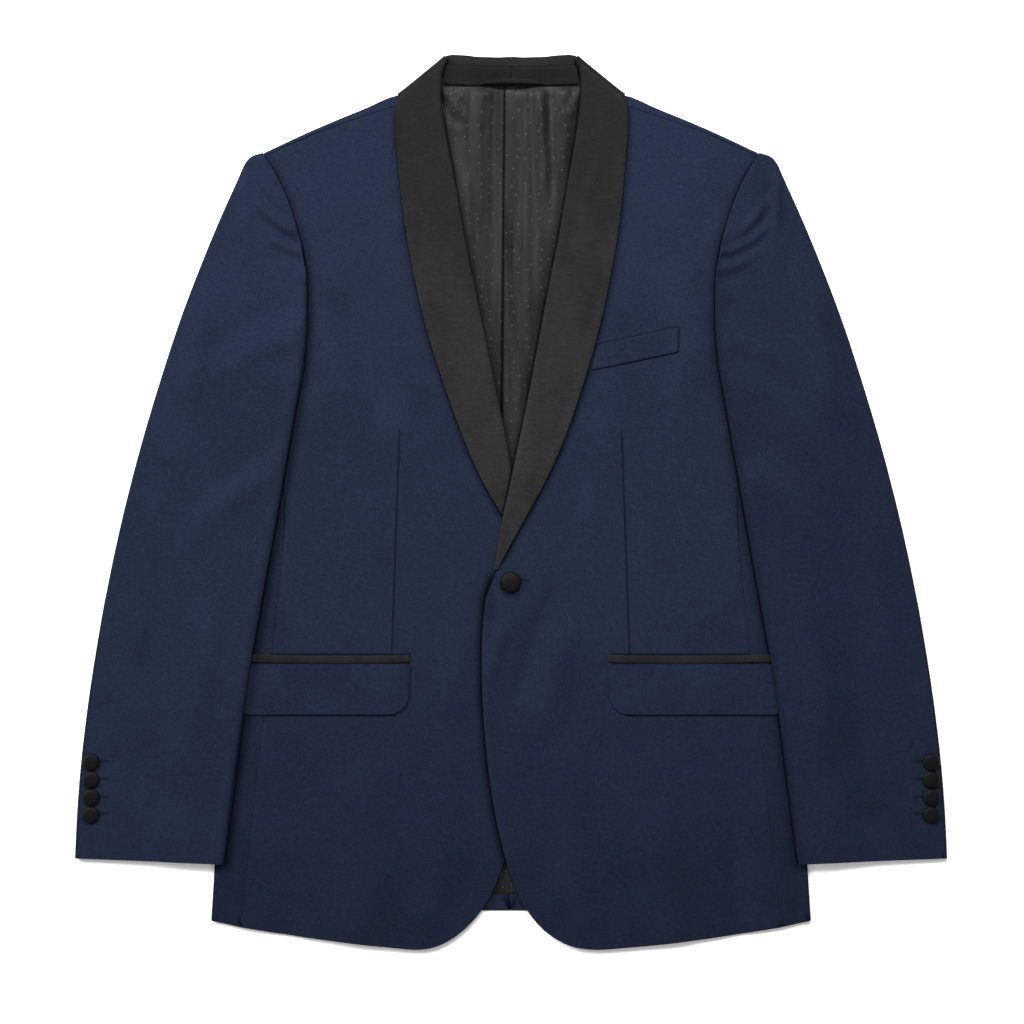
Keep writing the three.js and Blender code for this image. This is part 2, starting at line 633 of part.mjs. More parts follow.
function topSleeve(side) {
  const grid = SLEEVE.map((section, row) => {
    const seamAngle = elbowSeam(row) + 6;
    const around = outerFold(row, [90, lerp(90, seamAngle, 0.5), seamAngle]);
    const inner = SLEEVE_INNER[row];
    let start = inner;
    let turned = Array(5).fill(null);
    if (row >= FIRST_FOLDED_ROW) {
      const high = sleeveTop(inner.x, inner.y, 0);
      const opened = ramp(row, FIRST_FOLDED_ROW, FIRST_FOLDED_ROW + 1);
      const low = lerp(high - TIGHT_FOLD, onBody(inner.x, inner.y), opened);
      const outwards = sideways(SLEEVE_INNER, row).negate();
      const under = fold(inner, outwards, low, high, WOOL, HALF_TURN);
      const inset = FOREARM_SEAM - foldInset(low, high, WOOL);
      const flange = [1, 0.5].map((part) => under[0].clone().addScaledVector(outwards, -inset * part));
      const tucked = (point) => Math.min(low, sleeveTop(point.x, point.y, 0) - TIGHT_FOLD);
      turned = [
        ...flange.map((point) => (
          atHeight(point, lerp(tucked(point), onBody(point.x, point.y), opened))
        )),
        ...under.slice(0, -1),
      ];
      start = atHeight(under.at(-1), 0);
    }
    const upper = [0, 0.1, 0.26, 0.45, 0.64, 0.83].map((across) => {
      const point = start.clone().lerp(atHeight(around[0], 0), across);
      return point.setZ(sleeveTop(point.x, point.y, across));
    });
    return [...turned, ...upper, ...around];
  });
  sheet(`top_sleeve_${side}`, grid, WOOL, wool, SIDES[side]);
}

function underSleeve(side) {
  const grid = SLEEVE.map((section, row) => {
    const seamAngle = elbowSeam(row) - 6;
    const around = outerFold(row, [seamAngle, lerp(-90, seamAngle, 0.5), -90]);
    const under = [0.78, 0.56, 0.36, 0.17, 0].map((across) => {
      const point = SLEEVE_UNDER[row].clone().lerp(atHeight(around.at(-1), 0), across);
      return point.setZ(sleeveUnder(point.x, point.y));
    });
    return [...around, ...under];
  });
  sheet(`under_sleeve_${side}`, grid, WOOL, wool, SIDES[side]);
}

function cuffButtons(side) {
  const { x, ys } = CUFF_BUTTON;
  ys.forEach((y, k) => {
    const seat = sleeveTop(x, y, 0.9) + WOOL / 2 + SEAM;
    button(`cuff_button_${side}_${k + 1}`, SIDES[side] * x, y, seat, CUFF_BUTTON, buttonCloth);
  });
}

// ---------------------------------------------------------------- pockets and front button

const POCKET_END = { left: 89.5, right: 93.2 };

function pocketFlap(side) {
  const near = POCKET_END[side];
  const lean = 2; // the front end slopes back towards the bottom
  const grid = [0, 0.12, 0.3, 0.5, 0.75, 1].map((u) => steps(5).map((v) => {
    const drop = v * (FLAP_BOTTOM - FLAP_TOP);
    const fromBottom = (1 - v) * (FLAP_TOP - FLAP_BOTTOM);
    const into = Math.max(0, FLAP_CORNER - fromBottom);
    const rounding = FLAP_CORNER - Math.sqrt(FLAP_CORNER ** 2 - into ** 2);
    const x = lerp(near + lean * v + rounding, POCKET_FAR_END + POCKET_LEAN * v, u);
    const y = FLAP_TOP + drop;
    return new THREE.Vector3(x, y, frontHeight[side](x, y) + ON_WOOL + WOOL / 2);
  }));
  sheet(`pocket_flap_${side}`, grid, WOOL, wool, SIDES[side]);
}

function pocketJet(side) {
  const grid = steps(8).map((u) => [JET_TOP, JET_BOTTOM].map((y) => {
    const x = lerp(POCKET_END[side] - 0.3, POCKET_FAR_END, u);
    const sag = -1.2 * Math.sin(Math.PI * Math.min(1, u * 1.1));
    return new THREE.Vector3(x, y + sag, frontHeight[side](x, y) + ON_WOOL + RIBBON / 2);
  }));
  sheet(`pocket_jet_${side}`, grid, RIBBON, satin, SIDES[side]);
}

function breastWelt() {
  const grid = steps(5).map((u) => steps(2).map((v) => {
    const start = { x: lerp(74.4, 80.8, v), y: lerp(121.6, 144.6, v) };
    const end = { x: lerp(153, 153.8, v), y: lerp(138, 160.6, v) };
    const x = lerp(start.x, end.x, u);
    const y = lerp(start.y, end.y, u);
    return new THREE.Vector3(x, y, frontHeight.left(x, y) + ON_WOOL + SATIN / 2);
  }));
  sheet('breast_welt', grid, SATIN, wool);
}

function frontButton() {
  const { x, y } = FRONT_BUTTON;
  const seat = frontHeight.left(x + 6, y) + WOOL / 2 + SEAM;
  button('front_button', x, y, seat, FRONT_BUTTON, buttonCloth);
}

// ---------------------------------------------------------------- the jacket

for (const side of Object.keys(SIDES)) {
  back(side);
  sidePanel(side);
  front(side);
  backLining(side);
  backCollar(side, shawlLapel(side));
  collarStand(side);
  topSleeve(side);
  underSleeve(side);
  cuffButtons(side);
  pocketFlap(side);
  pocketJet(side);
}
hangerLoop();
breastWelt();
frontButton();

export default object;
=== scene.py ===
"""Looks for a dinner jacket with a satin shawl collar, laid flat on its back.

Every cloth piece is a thin shell on the form of its own solid: its panels are smoothed, its
edges are rounded, and its creases are placed one by one. All sizes are in millimetres unless
a name says otherwise. +X is the wearer's left side and +Y runs up to the collar.
"""

import math

import bmesh
import bpy
import numpy as np
from bpy.props import FloatProperty, FloatVectorProperty, IntProperty, PointerProperty
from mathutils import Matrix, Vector
from mathutils.bvhtree import BVHTree


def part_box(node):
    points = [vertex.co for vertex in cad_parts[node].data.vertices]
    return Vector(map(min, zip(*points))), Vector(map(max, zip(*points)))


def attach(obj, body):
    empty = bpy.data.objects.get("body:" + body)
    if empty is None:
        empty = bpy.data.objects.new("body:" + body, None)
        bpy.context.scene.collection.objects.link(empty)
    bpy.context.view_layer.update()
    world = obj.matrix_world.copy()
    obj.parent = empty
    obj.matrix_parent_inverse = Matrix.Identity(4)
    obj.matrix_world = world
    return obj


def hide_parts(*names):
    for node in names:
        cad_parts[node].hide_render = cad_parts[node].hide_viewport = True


bl_info = {
    "name": "Dinner jacket laid flat",
    "version": (1, 0, 0),
    "blender": (4, 5, 0),
    "location": "3D View > Sidebar > Jacket",
    "description": "Builds the cloth, collar, pockets and buttons of a shawl-collar dinner jacket",
    "category": "Object",
}

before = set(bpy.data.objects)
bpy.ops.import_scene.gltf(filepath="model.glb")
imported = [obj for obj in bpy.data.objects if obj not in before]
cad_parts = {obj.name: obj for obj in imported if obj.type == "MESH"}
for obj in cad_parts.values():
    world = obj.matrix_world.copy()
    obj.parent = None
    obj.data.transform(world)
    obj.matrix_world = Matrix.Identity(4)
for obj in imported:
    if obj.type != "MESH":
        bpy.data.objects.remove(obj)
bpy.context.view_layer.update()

MM = 0.001
SIDES = {"left": 1, "right": -1}

# ---------------------------------------------------------------- shader maths


class Term:
    """A socket that Python's operators work on, each adding a Math node."""

    def __init__(self, finish, socket):
        self.finish = finish
        self.socket = socket

    def maths(self, operation, *others):
        names = ("Value", "Value_001", "Value_002")
        terms = dict(zip(names, (self, *others), strict=False))
        return self.finish.node("ShaderNodeMath", {"operation": operation}, terms)

    def __add__(self, other):
        return self.maths("ADD", other)

    __radd__ = __add__

    def __mul__(self, other):
        return self.maths("MULTIPLY", other)

    __rmul__ = __mul__

    def __sub__(self, other):
        return self.maths("SUBTRACT", other)

    def __rsub__(self, other):
        return self.maths("MULTIPLY_ADD", -1.0, other)

    def __truediv__(self, other):
        return self.maths("DIVIDE", other)

    def __abs__(self):
        return self.maths("ABSOLUTE")

    def sine(self):
        return self.maths("SINE")

    def rises(self, start, end):
        """0 below start, 1 above end, and a soft step between them."""
        return self.finish.node(
            "ShaderNodeMapRange",
            {"interpolation_type": "SMOOTHSTEP"},
            {"Value": self, "From Min": start, "From Max": end},
        )


class Finish:
    """A material built from nodes, in object space, whose unit here is the millimetre."""

    def __init__(self, name):
        self.material = bpy.data.materials.new(name)
        self.material.use_nodes = True
        self.tree = self.material.node_tree
        self.tree.nodes.clear()
        place = self.node("ShaderNodeTexCoord", output="Object")
        self.place = self.node(
            "ShaderNodeVectorMath",
            {"operation": "SCALE"},
            {"Vector": place, "Scale": 1000.0},
        )
        self.x = self.node("ShaderNodeSeparateXYZ", {}, {"Vector": self.place}, "X")
        self.y = self.node("ShaderNodeSeparateXYZ", {}, {"Vector": self.place}, "Y")

    def node(self, kind, settings=None, sockets=None, output=None):
        """Adds a node: settings first, then the values or links of its sockets."""
        made = self.tree.nodes.new(kind)
        for key, value in (settings or {}).items():
            setattr(made, key, value)
        for key, value in (sockets or {}).items():
            found = [s for s in made.inputs if key in (s.identifier, s.name) and s.enabled]
            if isinstance(value, Term):
                self.tree.links.new(value.socket, found[0])
            else:
                found[0].default_value = value
        shown = [s for s in made.outputs if s.enabled and output in (None, s.name)]
        return Term(self, shown[0]) if shown else made

    def noise(self, size, detail=2.0, stretch=(1.0, 1.0, 1.0), roughness=0.5):
        """Soft noise from 0 to 1 whose patches are about size millimetres across."""
        vector = self.node(
            "ShaderNodeVectorMath",
            {"operation": "MULTIPLY"},
            {"Vector": self.place, "Vector_001": stretch},
        )
        return self.node(
            "ShaderNodeTexNoise",
            {},
            {"Vector": vector, "Scale": 1.0 / size, "Detail": detail, "Roughness": roughness},
        )

    def mix(self, factor, low, high):
        """The colour low where factor is 0 and high where it is 1."""
        return self.node(
            "ShaderNodeMix",
            {"data_type": "RGBA"},
            {"Factor_Float": factor, "A_Color": low, "B_Color": high},
            "Result",
        )

    def bump(self, height, depth, normal=None):
        """A bump whose height of 1 stands depth millimetres proud."""
        sockets = {"Height": height, "Distance": depth * MM, "Strength": 1.0}
        if normal is not None:
            sockets["Normal"] = normal
        return self.node("ShaderNodeBump", {}, sockets)

    def surface(self, colour, roughness, normal=None, **constants):
        """Ends the tree in a Principled shader."""
        sockets = {"Base Color": colour, "Roughness": roughness}
        if normal is not None:
            sockets["Normal"] = normal
        sockets.update({key.replace("_", " "): value for key, value in constants.items()})
        shader = self.node("ShaderNodeBsdfPrincipled", {}, sockets)
        self.node("ShaderNodeOutputMaterial", {}, {"Surface": shader})
        return self.material


def shade(colour, amount):
    """A settings colour made lighter or darker, as the four numbers that a socket takes."""
    return (*(min(1.0, c * amount) for c in colour), 1.0)


# ---------------------------------------------------------------- finishes

TWILL_PITCH = 0.9
DART_TOP = 70.8
DART_FOOT = -140.8
DART_X = 102.0
DART_LEAN = 0.035
# The lining gets a painted shadow line along the centre pleat's edge.
PLEAT_LINE = ((-6.0, 383.0), (-8.6, 60.0))  # the centre pleat's edge
LOOP_REACH = 30.0  # half the length of the shade under the hanger loop
LOOP_TOP = 382.6
LOOP_DROP = 4.6


def rows(names, *values):
    """A short table: each row becomes a dict with the named columns."""
    keys = names.split()
    return [dict(zip(keys, row, strict=True)) for row in values]


# The shadow line round the breast welt: its top, its end and its foot.
WELT_LINES = rows(
    "start end depth",
    ((80.0, 145.2), (154.4, 161.3), 0.4),
    ((153.7, 137.6), (154.5, 161.2), 0.45),
    ((74.0, 121.0), (153.6, 137.4), 0.6),
)
# The painted shadow lines above a jet, between it and its flap, and under the flap, out from the
# centre.
POCKET_SHADOW_LINES = rows(
    "start end depth",
    ((92.0, -140.4), (240.0, -140.4), 0.75),
    ((106.0, -196.4), (246.0, -196.4), 0.8),
)
# The painted shadow line between a jet and its flap, drawn on the flap.
JET_SHADOW_LINES = rows("start end depth", ((92.0, -148.4), (244.0, -148.4), 0.85))


def on_side(lines, sign):
    """Lines drawn for the left side, on the side that sign gives."""
    return [
        {**line, "start": (sign * line["start"][0], line["start"][1]),
         "end": (sign * line["end"][0], line["end"][1])}
        for line in lines
    ]


# Edges that shade what lies below them, going downwards: the lapels' outer edge and roll line,
# the free edge of the left front, and a sleeve's armhole seam and inner and outer folds.
LAPEL_OUTER = rows(
    "y left right",
    (375, 105.6, 105), (337, 107.2, 106.4), (300, 104.3, 103), (250, 99.4, 97.5),
    (200, 90.3, 88), (160, 81.5, 78.5), (120, 70.5, 66), (80, 57.3, 51.8), (45, 43.9, 38.3),
    (15, 29.6, 24.1), (0, 21.4, 15.5), (-30, 4.8, -2.1), (-62, -12.2, -14.9),
)
LAPEL_ROLL = rows(
    "y x",
    (410, 60.2), (382, 63.7), (337, 59), (300, 52), (250, 44), (200, 34), (160, 26.5),
    (120, 19), (80, 11.8), (45, 4.4), (0, -5.2), (-30, -11.2), (-62, -16.4),
)
FRONT_EDGE = rows(
    "y x",
    (-62, -16.4), (-90, -24.3), (-127, -27.2), (-182, -26.7), (-240, -22), (-285, -15.5),
    (-325, -6.6), (-356, 4.4), (-374, 13), (-390, 25.2),
)
SLEEVE_INNER = rows(
    "y x",
    (317.6, 227.6), (303, 216.2), (278, 204.8), (241, 193.2), (216, 188.2), (190, 187.2),
    (160, 187), (125, 190), (90, 196.6), (45, 204.4), (0, 212.2), (-95, 229.1), (-150, 238.8),
    (-200, 246), (-333, 263.3),
)
SLEEVE_OUTER = rows(
    "y x",
    (330, 240), (300, 251), (250, 273), (210, 290), (165, 307), (120, 321), (66, 338),
    (12, 352), (-40, 364), (-95, 376), (-150, 385), (-250, 397), (-333, 402),
)
LAPEL_TIP = -62.0  # the y of the left lapel's lower end
SATIN_RUNS_TO = -92.0  # how far down the front edge the satin still shows
CUFF = -333.0
HEM = -390.0
WAIST = -60.0
# How dark the painted shadows are: the line at an edge, beside a sleeve, towards the hem, where a
# sleeve rolls under.
SHADOW_LINE_DEPTH = 0.5
SLEEVE_SHADE = 0.9
HEM_SHADE = 0.18
TURN_SHADE = 0.4


def follows(f, table, column="x"):
    """A column of a table's line at each y; its rows go downwards."""
    line = table[0][column]
    for above, below in zip(table, table[1:], strict=False):
        part = f.node(
            "ShaderNodeMapRange",
            {},
            {
                "Value": f.y,
                "From Min": above["y"],
                "From Max": below["y"],
                "To Min": 0.0,
                "To Max": below[column] - above[column],
            },
        )
        line = part + line
    return line


def contact(off, reach, depth=0.5):
    """The dark line and soft shade beside an edge, off being the distance out from it."""
    outside = off.rises(-1.4, -0.3)
    line = 1 - off.rises(0.1, 1.7)
    soft = 1 - off.rises(-1.0, reach)
    return outside * (line * SHADOW_LINE_DEPTH + soft * soft * depth)


def near_line(f, start, end, width):
    """1 on a straight line between two places, falling to 0 at width away from it."""
    run, rise = end[0] - start[0], end[1] - start[1]
    length = math.hypot(run, rise)
    along = ((f.x - start[0]) * run + (f.y - start[1]) * rise) * (1 / length)
    across = abs(((f.y - start[1]) * run - (f.x - start[0]) * rise) * (1 / length))
    inside = along.rises(-0.3, 0.3) * (1 - along.rises(length - 0.3, length + 0.3))
    return (1 - across.rises(0.25, width)) * inside


def dart_groove(f):
    """1 along the waist dart and 0 away from it."""
    off = abs(abs(f.x) - (DART_X + (DART_TOP - f.y) * DART_LEAN))
    along = f.y.rises(DART_FOOT - 2, DART_FOOT) * (1 - f.y.rises(DART_TOP - 12, DART_TOP))
    return (1 - off.rises(0.25, 1.3)) * along


def body_shades(f, side):
    """Painted shade on a body piece beside its sleeve, lapel and front edge, and towards the hem.
    """
    sleeve = contact(follows(f, SLEEVE_INNER) - abs(f.x), 13.0)
    lapel = contact(f.x * SIDES[side] - follows(f, LAPEL_OUTER, side), 11.0, 0.8)
    lapel = lapel * f.y.rises(LAPEL_TIP, LAPEL_TIP + 12.0)
    front_edge = follows(f, FRONT_EDGE)
    # Right front: painted shadow beside the left front's free edge, below the lapel.
    if side == "right":
        below_roll = 1 - f.y.rises(LAPEL_TIP - 13.0, LAPEL_TIP + 2.0)
        edge = contact(front_edge - f.x, 12.0, 0.85) * below_roll
    else:
        # Left front: a dark strip inside its edge for the satin facing that shows there, its own
        # colour.
        narrows = f.y.rises(SATIN_RUNS_TO, LAPEL_TIP + 2.0) * 2.4
        edge = 1 - (f.x - narrows - front_edge).rises(0.4, 1.8)
        edge = edge * f.y.rises(SATIN_RUNS_TO - 33.0, SATIN_RUNS_TO + 7.0)
        edge = edge * (1 - f.y.rises(LAPEL_TIP - 3.0, LAPEL_TIP + 2.0)) * 0.9
    return [
        sleeve * f.y.rises(CUFF - 8.0, CUFF + 2.0) * SLEEVE_SHADE,
        lapel * (1 - f.y.rises(-20.0, 260.0) * 0.6),
        edge,
        # Painted shade: darker towards the hem.
        (1 - f.y.rises(HEM, WAIST)) * HEM_SHADE,
    ]


def sleeve_turn_shade(f):
    """Painted shade on a sleeve where its inner edge rolls under, from the elbow down."""
    turn = 1 - (abs(f.x) - follows(f, SLEEVE_INNER)).rises(-1.0, 9.0)
    return turn * (1 - f.y.rises(150.0, 240.0)) * TURN_SHADE


def wool_finish(name, colour, light=1.0, side=None, lines=(), is_sleeve=False):
    """Fine worsted: a steep twill and soft fibre mottling.

    A body piece, whose side is given, also has its dart and the shade beside its neighbours.
    """
    f = Finish(name)
    wave = (f.x * 0.82 + f.y * 0.57) * (2 * math.pi / TWILL_PITCH)
    warp = f.noise(1.3, 3.0, (1.0, 0.3, 1.0), 0.7)
    weft = f.noise(1.3, 3.0, (0.3, 1.0, 1.0), 0.7)
    twill = (wave + warp * 2.2).sine() * 0.5 + 0.5
    fibre = f.noise(1.1, 4.0, roughness=0.75)
    cloud = f.noise(45.0, 3.0)
    tone = warp * 0.24 + weft * 0.24 + fibre * 0.32 + cloud * 0.11 + twill * 0.09
    height = twill * 0.3 + fibre * 0.5 + warp * 0.25 + weft * 0.25
    # light scales the whole colour: under 1 it is painted shade, over 1 painted light.
    colour_term = f.mix(
        tone.rises(0.33, 0.67), shade(colour, 0.62 * light), shade(colour, 1.38 * light)
    )
    shades = []
    if side:
        groove = dart_groove(f)
        # The dart is a bump groove and is also painted darker: painted shade in the groove.
        height = height - groove * 5.0
        colour_term = f.mix(groove * 0.55, colour_term, shade(colour, 0.35))
        shades = body_shades(f, side)
    if is_sleeve:
        shades = [sleeve_turn_shade(f)]
    # Each amount paints shade or shadow, except the left front's satin facing.
    for amount in shades:
        colour_term = f.mix(amount, colour_term, shade(colour, 0.1))
    # Each line is a bump groove and also a painted shadow line beside a pocket or welt edge.
    for line in lines:
        groove = near_line(f, line["start"], line["end"], 1.3)
        height = height - groove * 4.0 * line["depth"]
        colour_term = f.mix(groove * line["depth"], colour_term, shade(colour, 0.15))
    return f.surface(
        colour_term,
        0.86 + fibre * 0.08,
        f.bump(height, 0.2),
        Specular_IOR_Level=0.02,
    )


def satin_finish(name, colour, light=1.0, under_lapel=False):
    """Silk satin: long floats across the grain and a soft, low gloss."""
    f = Finish(name)
    floats = f.noise(1.4, 3.0, (0.5, 1.0, 1.0), 0.7)
    grain = f.noise(1.2, 3.0, (1.0, 0.6, 1.0), 0.75)
    slub = f.noise(2.6, 2.0, (0.3, 1.0, 1.0))
    cloud = f.noise(30.0, 3.0, (1.0, 0.6, 1.0))
    tone = (floats * 0.3 + grain * 0.25 + slub * 0.15 + cloud * 0.3).rises(0.34, 0.66)
    # Painted light and shade: darker towards the collar, lighter lower down; light scales it as
    # painted light or shade.
    low = 1 - f.y.rises(0.0, 420.0)
    ground = f.mix(tone, shade(colour, 0.2 * light), shade(colour, 0.85 * light))
    painted_lit_satin = f.mix(tone, shade(colour, 0.95 * light), shade(colour, 2.15 * light))
    colour_term = f.mix(low, ground, painted_lit_satin)
    # The right lapel gets a painted shadow beside the left lapel's roll line; Metallic takes its
    # gloss out too.
    lapel_shadow = 0.0
    if under_lapel:
        lapel_shadow = contact(follows(f, LAPEL_ROLL) - f.x, 5.0) * (1 - f.y.rises(60.0, 90.0))
        colour_term = f.mix(lapel_shadow, colour_term, shade(colour, 0.05))
    return f.surface(
        colour_term,
        0.46 + floats * 0.08 + cloud * 0.08,
        f.bump(floats * 0.6 + grain * 0.2 + slub * 0.2, 0.06),
        Metallic=lapel_shadow,
        Specular_IOR_Level=0.05,
    )


def shaded_by_lapels(f):
    """How dark the lining is beside the two roll lines, which stand above it."""
    return contact(follows(f, LAPEL_ROLL) - abs(f.x), 15.0) * 0.8


def lining_finish(name, colour, light=1.0):
    """Smooth lining with a small, irregular woven dot."""
    f = Finish(name)
    cells = f.node(
        "ShaderNodeTexVoronoi",
        {"feature": "F1", "voronoi_dimensions": "2D"},
        {"Vector": f.place, "Scale": 1 / 11.5, "Randomness": 0.7},
        "Distance",
    )
    dots = 1 - cells.rises(0.05, 0.12)
    thread = f.noise(0.8, 3.0, (1.0, 0.25, 1.0), 0.6)
    # Long streaks painted as the light and shade of soft folds; light scales the lining as painted
    # light or shade.
    painted_fold_streak = f.noise(11.0, 3.0, (1.0, 0.13, 1.0), 0.6)
    tone = (thread * 0.3 + painted_fold_streak * 0.7).rises(0.36, 0.64)
    ground = f.mix(tone, shade(colour, 0.45 * light), shade(colour, 1.45 * light))
    cloth = f.mix(dots * 0.8, ground, shade(colour, 3.0 * light))
    # Painted shadows beside the lapels' roll lines, under the hanger loop and along the centre
    # pleat; Metallic dulls their gloss too.
    lit = 1 - shaded_by_lapels(f)
    bow = 1 - f.x * f.x * (1 / LOOP_REACH**2)
    lit = lit * (1 - (f.y - LOOP_TOP + bow * LOOP_DROP).rises(0.0, 1.6) * 0.9)
    lit = lit * (1 - near_line(f, *PLEAT_LINE, 2.4) * 0.85)
    return f.surface(
        f.mix(lit, shade(colour, 0.05), cloth),
        0.4 + thread * 0.1,
        f.bump(thread * 0.5 + dots * 0.9, 0.08),
        Metallic=1 - lit,
        Specular_IOR_Level=0.075,
    )


def button_finish(name, colour):
    """Satin pulled tight over a button."""
    f = Finish(name)
    weave = f.noise(0.5, 3.0, (0.3, 1.0, 1.0), 0.6)
    return f.surface(
        f.mix(weave.rises(0.3, 0.7), shade(colour, 0.8), shade(colour, 1.25)),
        0.48 + weave * 0.12,
        f.bump(weave, 0.05),
        Specular_IOR_Level=0.06,
    )


def thread_finish(name, colour):
    """Close buttonhole stitches, as ridges across the bar."""
    f = Finish(name)
    stitch = (f.x * (2 * math.pi / 0.7)).sine() * 0.5 + 0.5
    return f.surface(
        f.mix(stitch, shade(colour, 0.55), shade(colour, 1.2)),
        0.7 + stitch * 0.1,
        f.bump(stitch, 0.15),
        Specular_IOR_Level=0.04,
    )


# ---------------------------------------------------------------- creases


def smooth(value, start, end):
    """0 below start, 1 above end, and a soft step between them, for arrays."""
    t = np.clip((value - start) / (end - start), 0.0, 1.0)
    return t * t * (3 - 2 * t)


def along_curve(x, y, fold, points=24):
    """How far points lie from a fold's curve, and how far along it they are, from 0 to 1."""
    t = np.linspace(0, 1, points)
    start, bend, end = (np.array(fold[k]) for k in ("start", "bend", "end"))
    curve = np.outer((1 - t) ** 2, start) + np.outer(2 * t * (1 - t), bend) + np.outer(t**2, end)
    nearest = np.full(x.shape, 1e9)
    place = np.zeros(x.shape)
    for k in range(points - 1):
        a, b = curve[k], curve[k + 1]
        d = b - a
        u = np.clip(((x - a[0]) * d[0] + (y - a[1]) * d[1]) / (d @ d), 0, 1)
        away = np.hypot(x - a[0] - u * d[0], y - a[1] - u * d[1])
        closer = away < nearest
        nearest[closer] = away[closer]
        place[closer] = (k + u[closer]) / (points - 1)
    return nearest, place


def creased(x, y, folds):
    """Height of a set of folds: each is a soft ridge, or a trough where its rise is negative."""
    height = np.zeros(x.shape)
    for fold in folds:
        away, t = along_curve(x, y, fold)
        fade = smooth(t, 0.0, 0.35) if fold["opens"] != "start" else 1.0
        fade = fade * (smooth(1 - t, 0.0, 0.35) if fold["opens"] != "end" else 1.0)
        height += fold["rise"] * fade * np.exp(-((away / fold["width"]) ** 2))
    return height


# The fronts: soft lengthways drape, and the drag beside the button and at the armholes.
BODY_FOLDS = rows(
    "start bend end rise width opens",
    ((-160, 330), (-150, 250), (-165, 150), 2.2, 20, ""),
    ((165, 330), (150, 240), (170, 150), 2.2, 20, ""),
    ((-185, 180), (-150, 110), (-140, 20), 2.8, 16, ""),
    ((182, 175), (150, 100), (150, 10), 2.6, 17, ""),
    ((-22, -80), (-13, -98), (-11, -120), -2.2, 3.6, ""),
    ((-24, -96), (-15, -116), (-16, -138), -1.8, 3.8, ""),
    ((-10, -104), (-14, -136), (-20, -176), 3.4, 8, ""),
    ((34, -84), (18, -140), (2, -200), -2.8, 11, ""),
    ((50, -90), (44, -150), (28, -226), 3.6, 14, ""),
    ((-40, -100), (-52, -160), (-56, -230), 2.2, 14, ""),
    ((-120, -210), (-130, -300), (-140, -390), 3.2, 20, "end"),
    ((-190, -210), (-200, -300), (-205, -395), -1.6, 15, "end"),
    ((130, -210), (140, -300), (150, -390), 3.2, 20, "end"),
    ((195, -210), (205, -300), (210, -395), -1.6, 15, "end"),
    ((60, -180), (50, -280), (70, -380), 2.2, 17, "end"),
    ((-60, -190), (-52, -290), (-74, -380), 2.2, 17, "end"),
    ((-120, 60), (-128, -10), (-126, -100), 1.8, 12, ""),
    ((120, 60), (128, -10), (126, -100), 1.8, 12, ""),
    ((-98, 150), (-108, 60), (-92, -20), 1.6, 14, ""),
    ((98, 130), (86, 40), (70, -50), 2.0, 14, ""),
    ((-70, 20), (-58, -20), (-44, -66), 1.8, 11, ""),
)

# The sleeves, a set for each side: roll of the sleeve head, then the bends of the arm.
SLEEVE_FOLDS = {
    "right": rows(
        "start bend end rise width opens",
        ((-246, 312), (-244, 280), (-240, 240), 2.4, 5.0, ""),
        ((-236, 296), (-226, 272), (-205, 262), -1.8, 3.8, "end"),
        ((-238, 284), (-226, 258), (-200, 250), 2.4, 4.0, "end"),
        ((-232, 270), (-220, 246), (-196, 240), -2.4, 3.6, "end"),
        ((-226, 250), (-212, 232), (-192, 230), 2.2, 4.0, "end"),
        ((-218, 238), (-206, 222), (-190, 220), -2.0, 3.4, "end"),
        ((-214, 224), (-204, 208), (-190, 204), 1.6, 5.0, "end"),
        ((-258, 292), (-262, 240), (-250, 190), -1.4, 9.0, ""),
        ((-205, 180), (-240, 172), (-272, 140), -1.8, 10.0, "start"),
        ((-200, 150), (-235, 150), (-280, 105), 2.6, 12.0, "start"),
        ((-278, 215), (-285, 150), (-300, 60), 2.8, 12.0, ""),
        ((-215, 60), (-250, 40), (-300, -10), -1.8, 12.0, "start"),
        ((-225, 20), (-260, 10), (-310, -60), 2.6, 13.0, "start"),
        ((-330, 20), (-335, -80), (-352, -170), 2.6, 12.0, ""),
        ((-262, -60), (-285, -140), (-300, -250), 2.6, 13.0, ""),
        ((-300, -60), (-318, -150), (-330, -270), -1.6, 11.0, ""),
    ),
    "left": rows(
        "start bend end rise width opens",
        ((244, 316), (246, 284), (243, 236), 2.8, 4.2, ""),
        ((238, 300), (236, 276), (228, 258), -1.6, 3.6, ""),
        ((240, 290), (232, 262), (206, 246), 2.2, 3.8, ""),
        ((241, 276), (230, 246), (199, 236), -2.4, 3.6, "end"),
        ((240, 262), (226, 236), (193, 230), 2.4, 3.6, "end"),
        ((238, 250), (222, 228), (191, 223), -2.6, 3.4, "end"),
        ((230, 234), (216, 216), (190, 214), 2.0, 4.0, "end"),
        ((222, 220), (210, 206), (189, 204), -1.4, 4.0, "end"),
        ((258, 292), (262, 240), (252, 190), -1.4, 9.0, ""),
        ((203, 178), (238, 170), (270, 135), -1.8, 10.0, "start"),
        ((198, 150), (236, 148), (282, 100), 2.6, 12.0, "start"),
        ((276, 220), (284, 150), (298, 55), 2.8, 12.0, ""),
        ((214, 64), (248, 46), (305, 0), -1.8, 12.0, "start"),
        ((224, 18), (262, 8), (312, -64), 2.6, 13.0, "start"),
        ((332, 10), (338, -90), (356, -180), 2.6, 12.0, ""),
        ((260, -50), (282, -140), (296, -240), 2.6, 13.0, ""),
        ((302, -70), (320, -160), (334, -280), -1.6, 11.0, ""),
    ),
}

# The satin's own slight buckles, on top of what the fronts do.
SATIN_FOLDS = rows(
    "start bend end rise width opens",
    ((-66, 330), (-56, 306), (-48, 296), 0.45, 4.0, ""),
    ((84, 318), (74, 296), (66, 272), 0.45, 4.5, ""),
    ((-92, 250), (-70, 200), (-52, 150), 0.45, 9.0, ""),
    ((88, 240), (70, 190), (48, 130), 0.45, 9.0, ""),
)

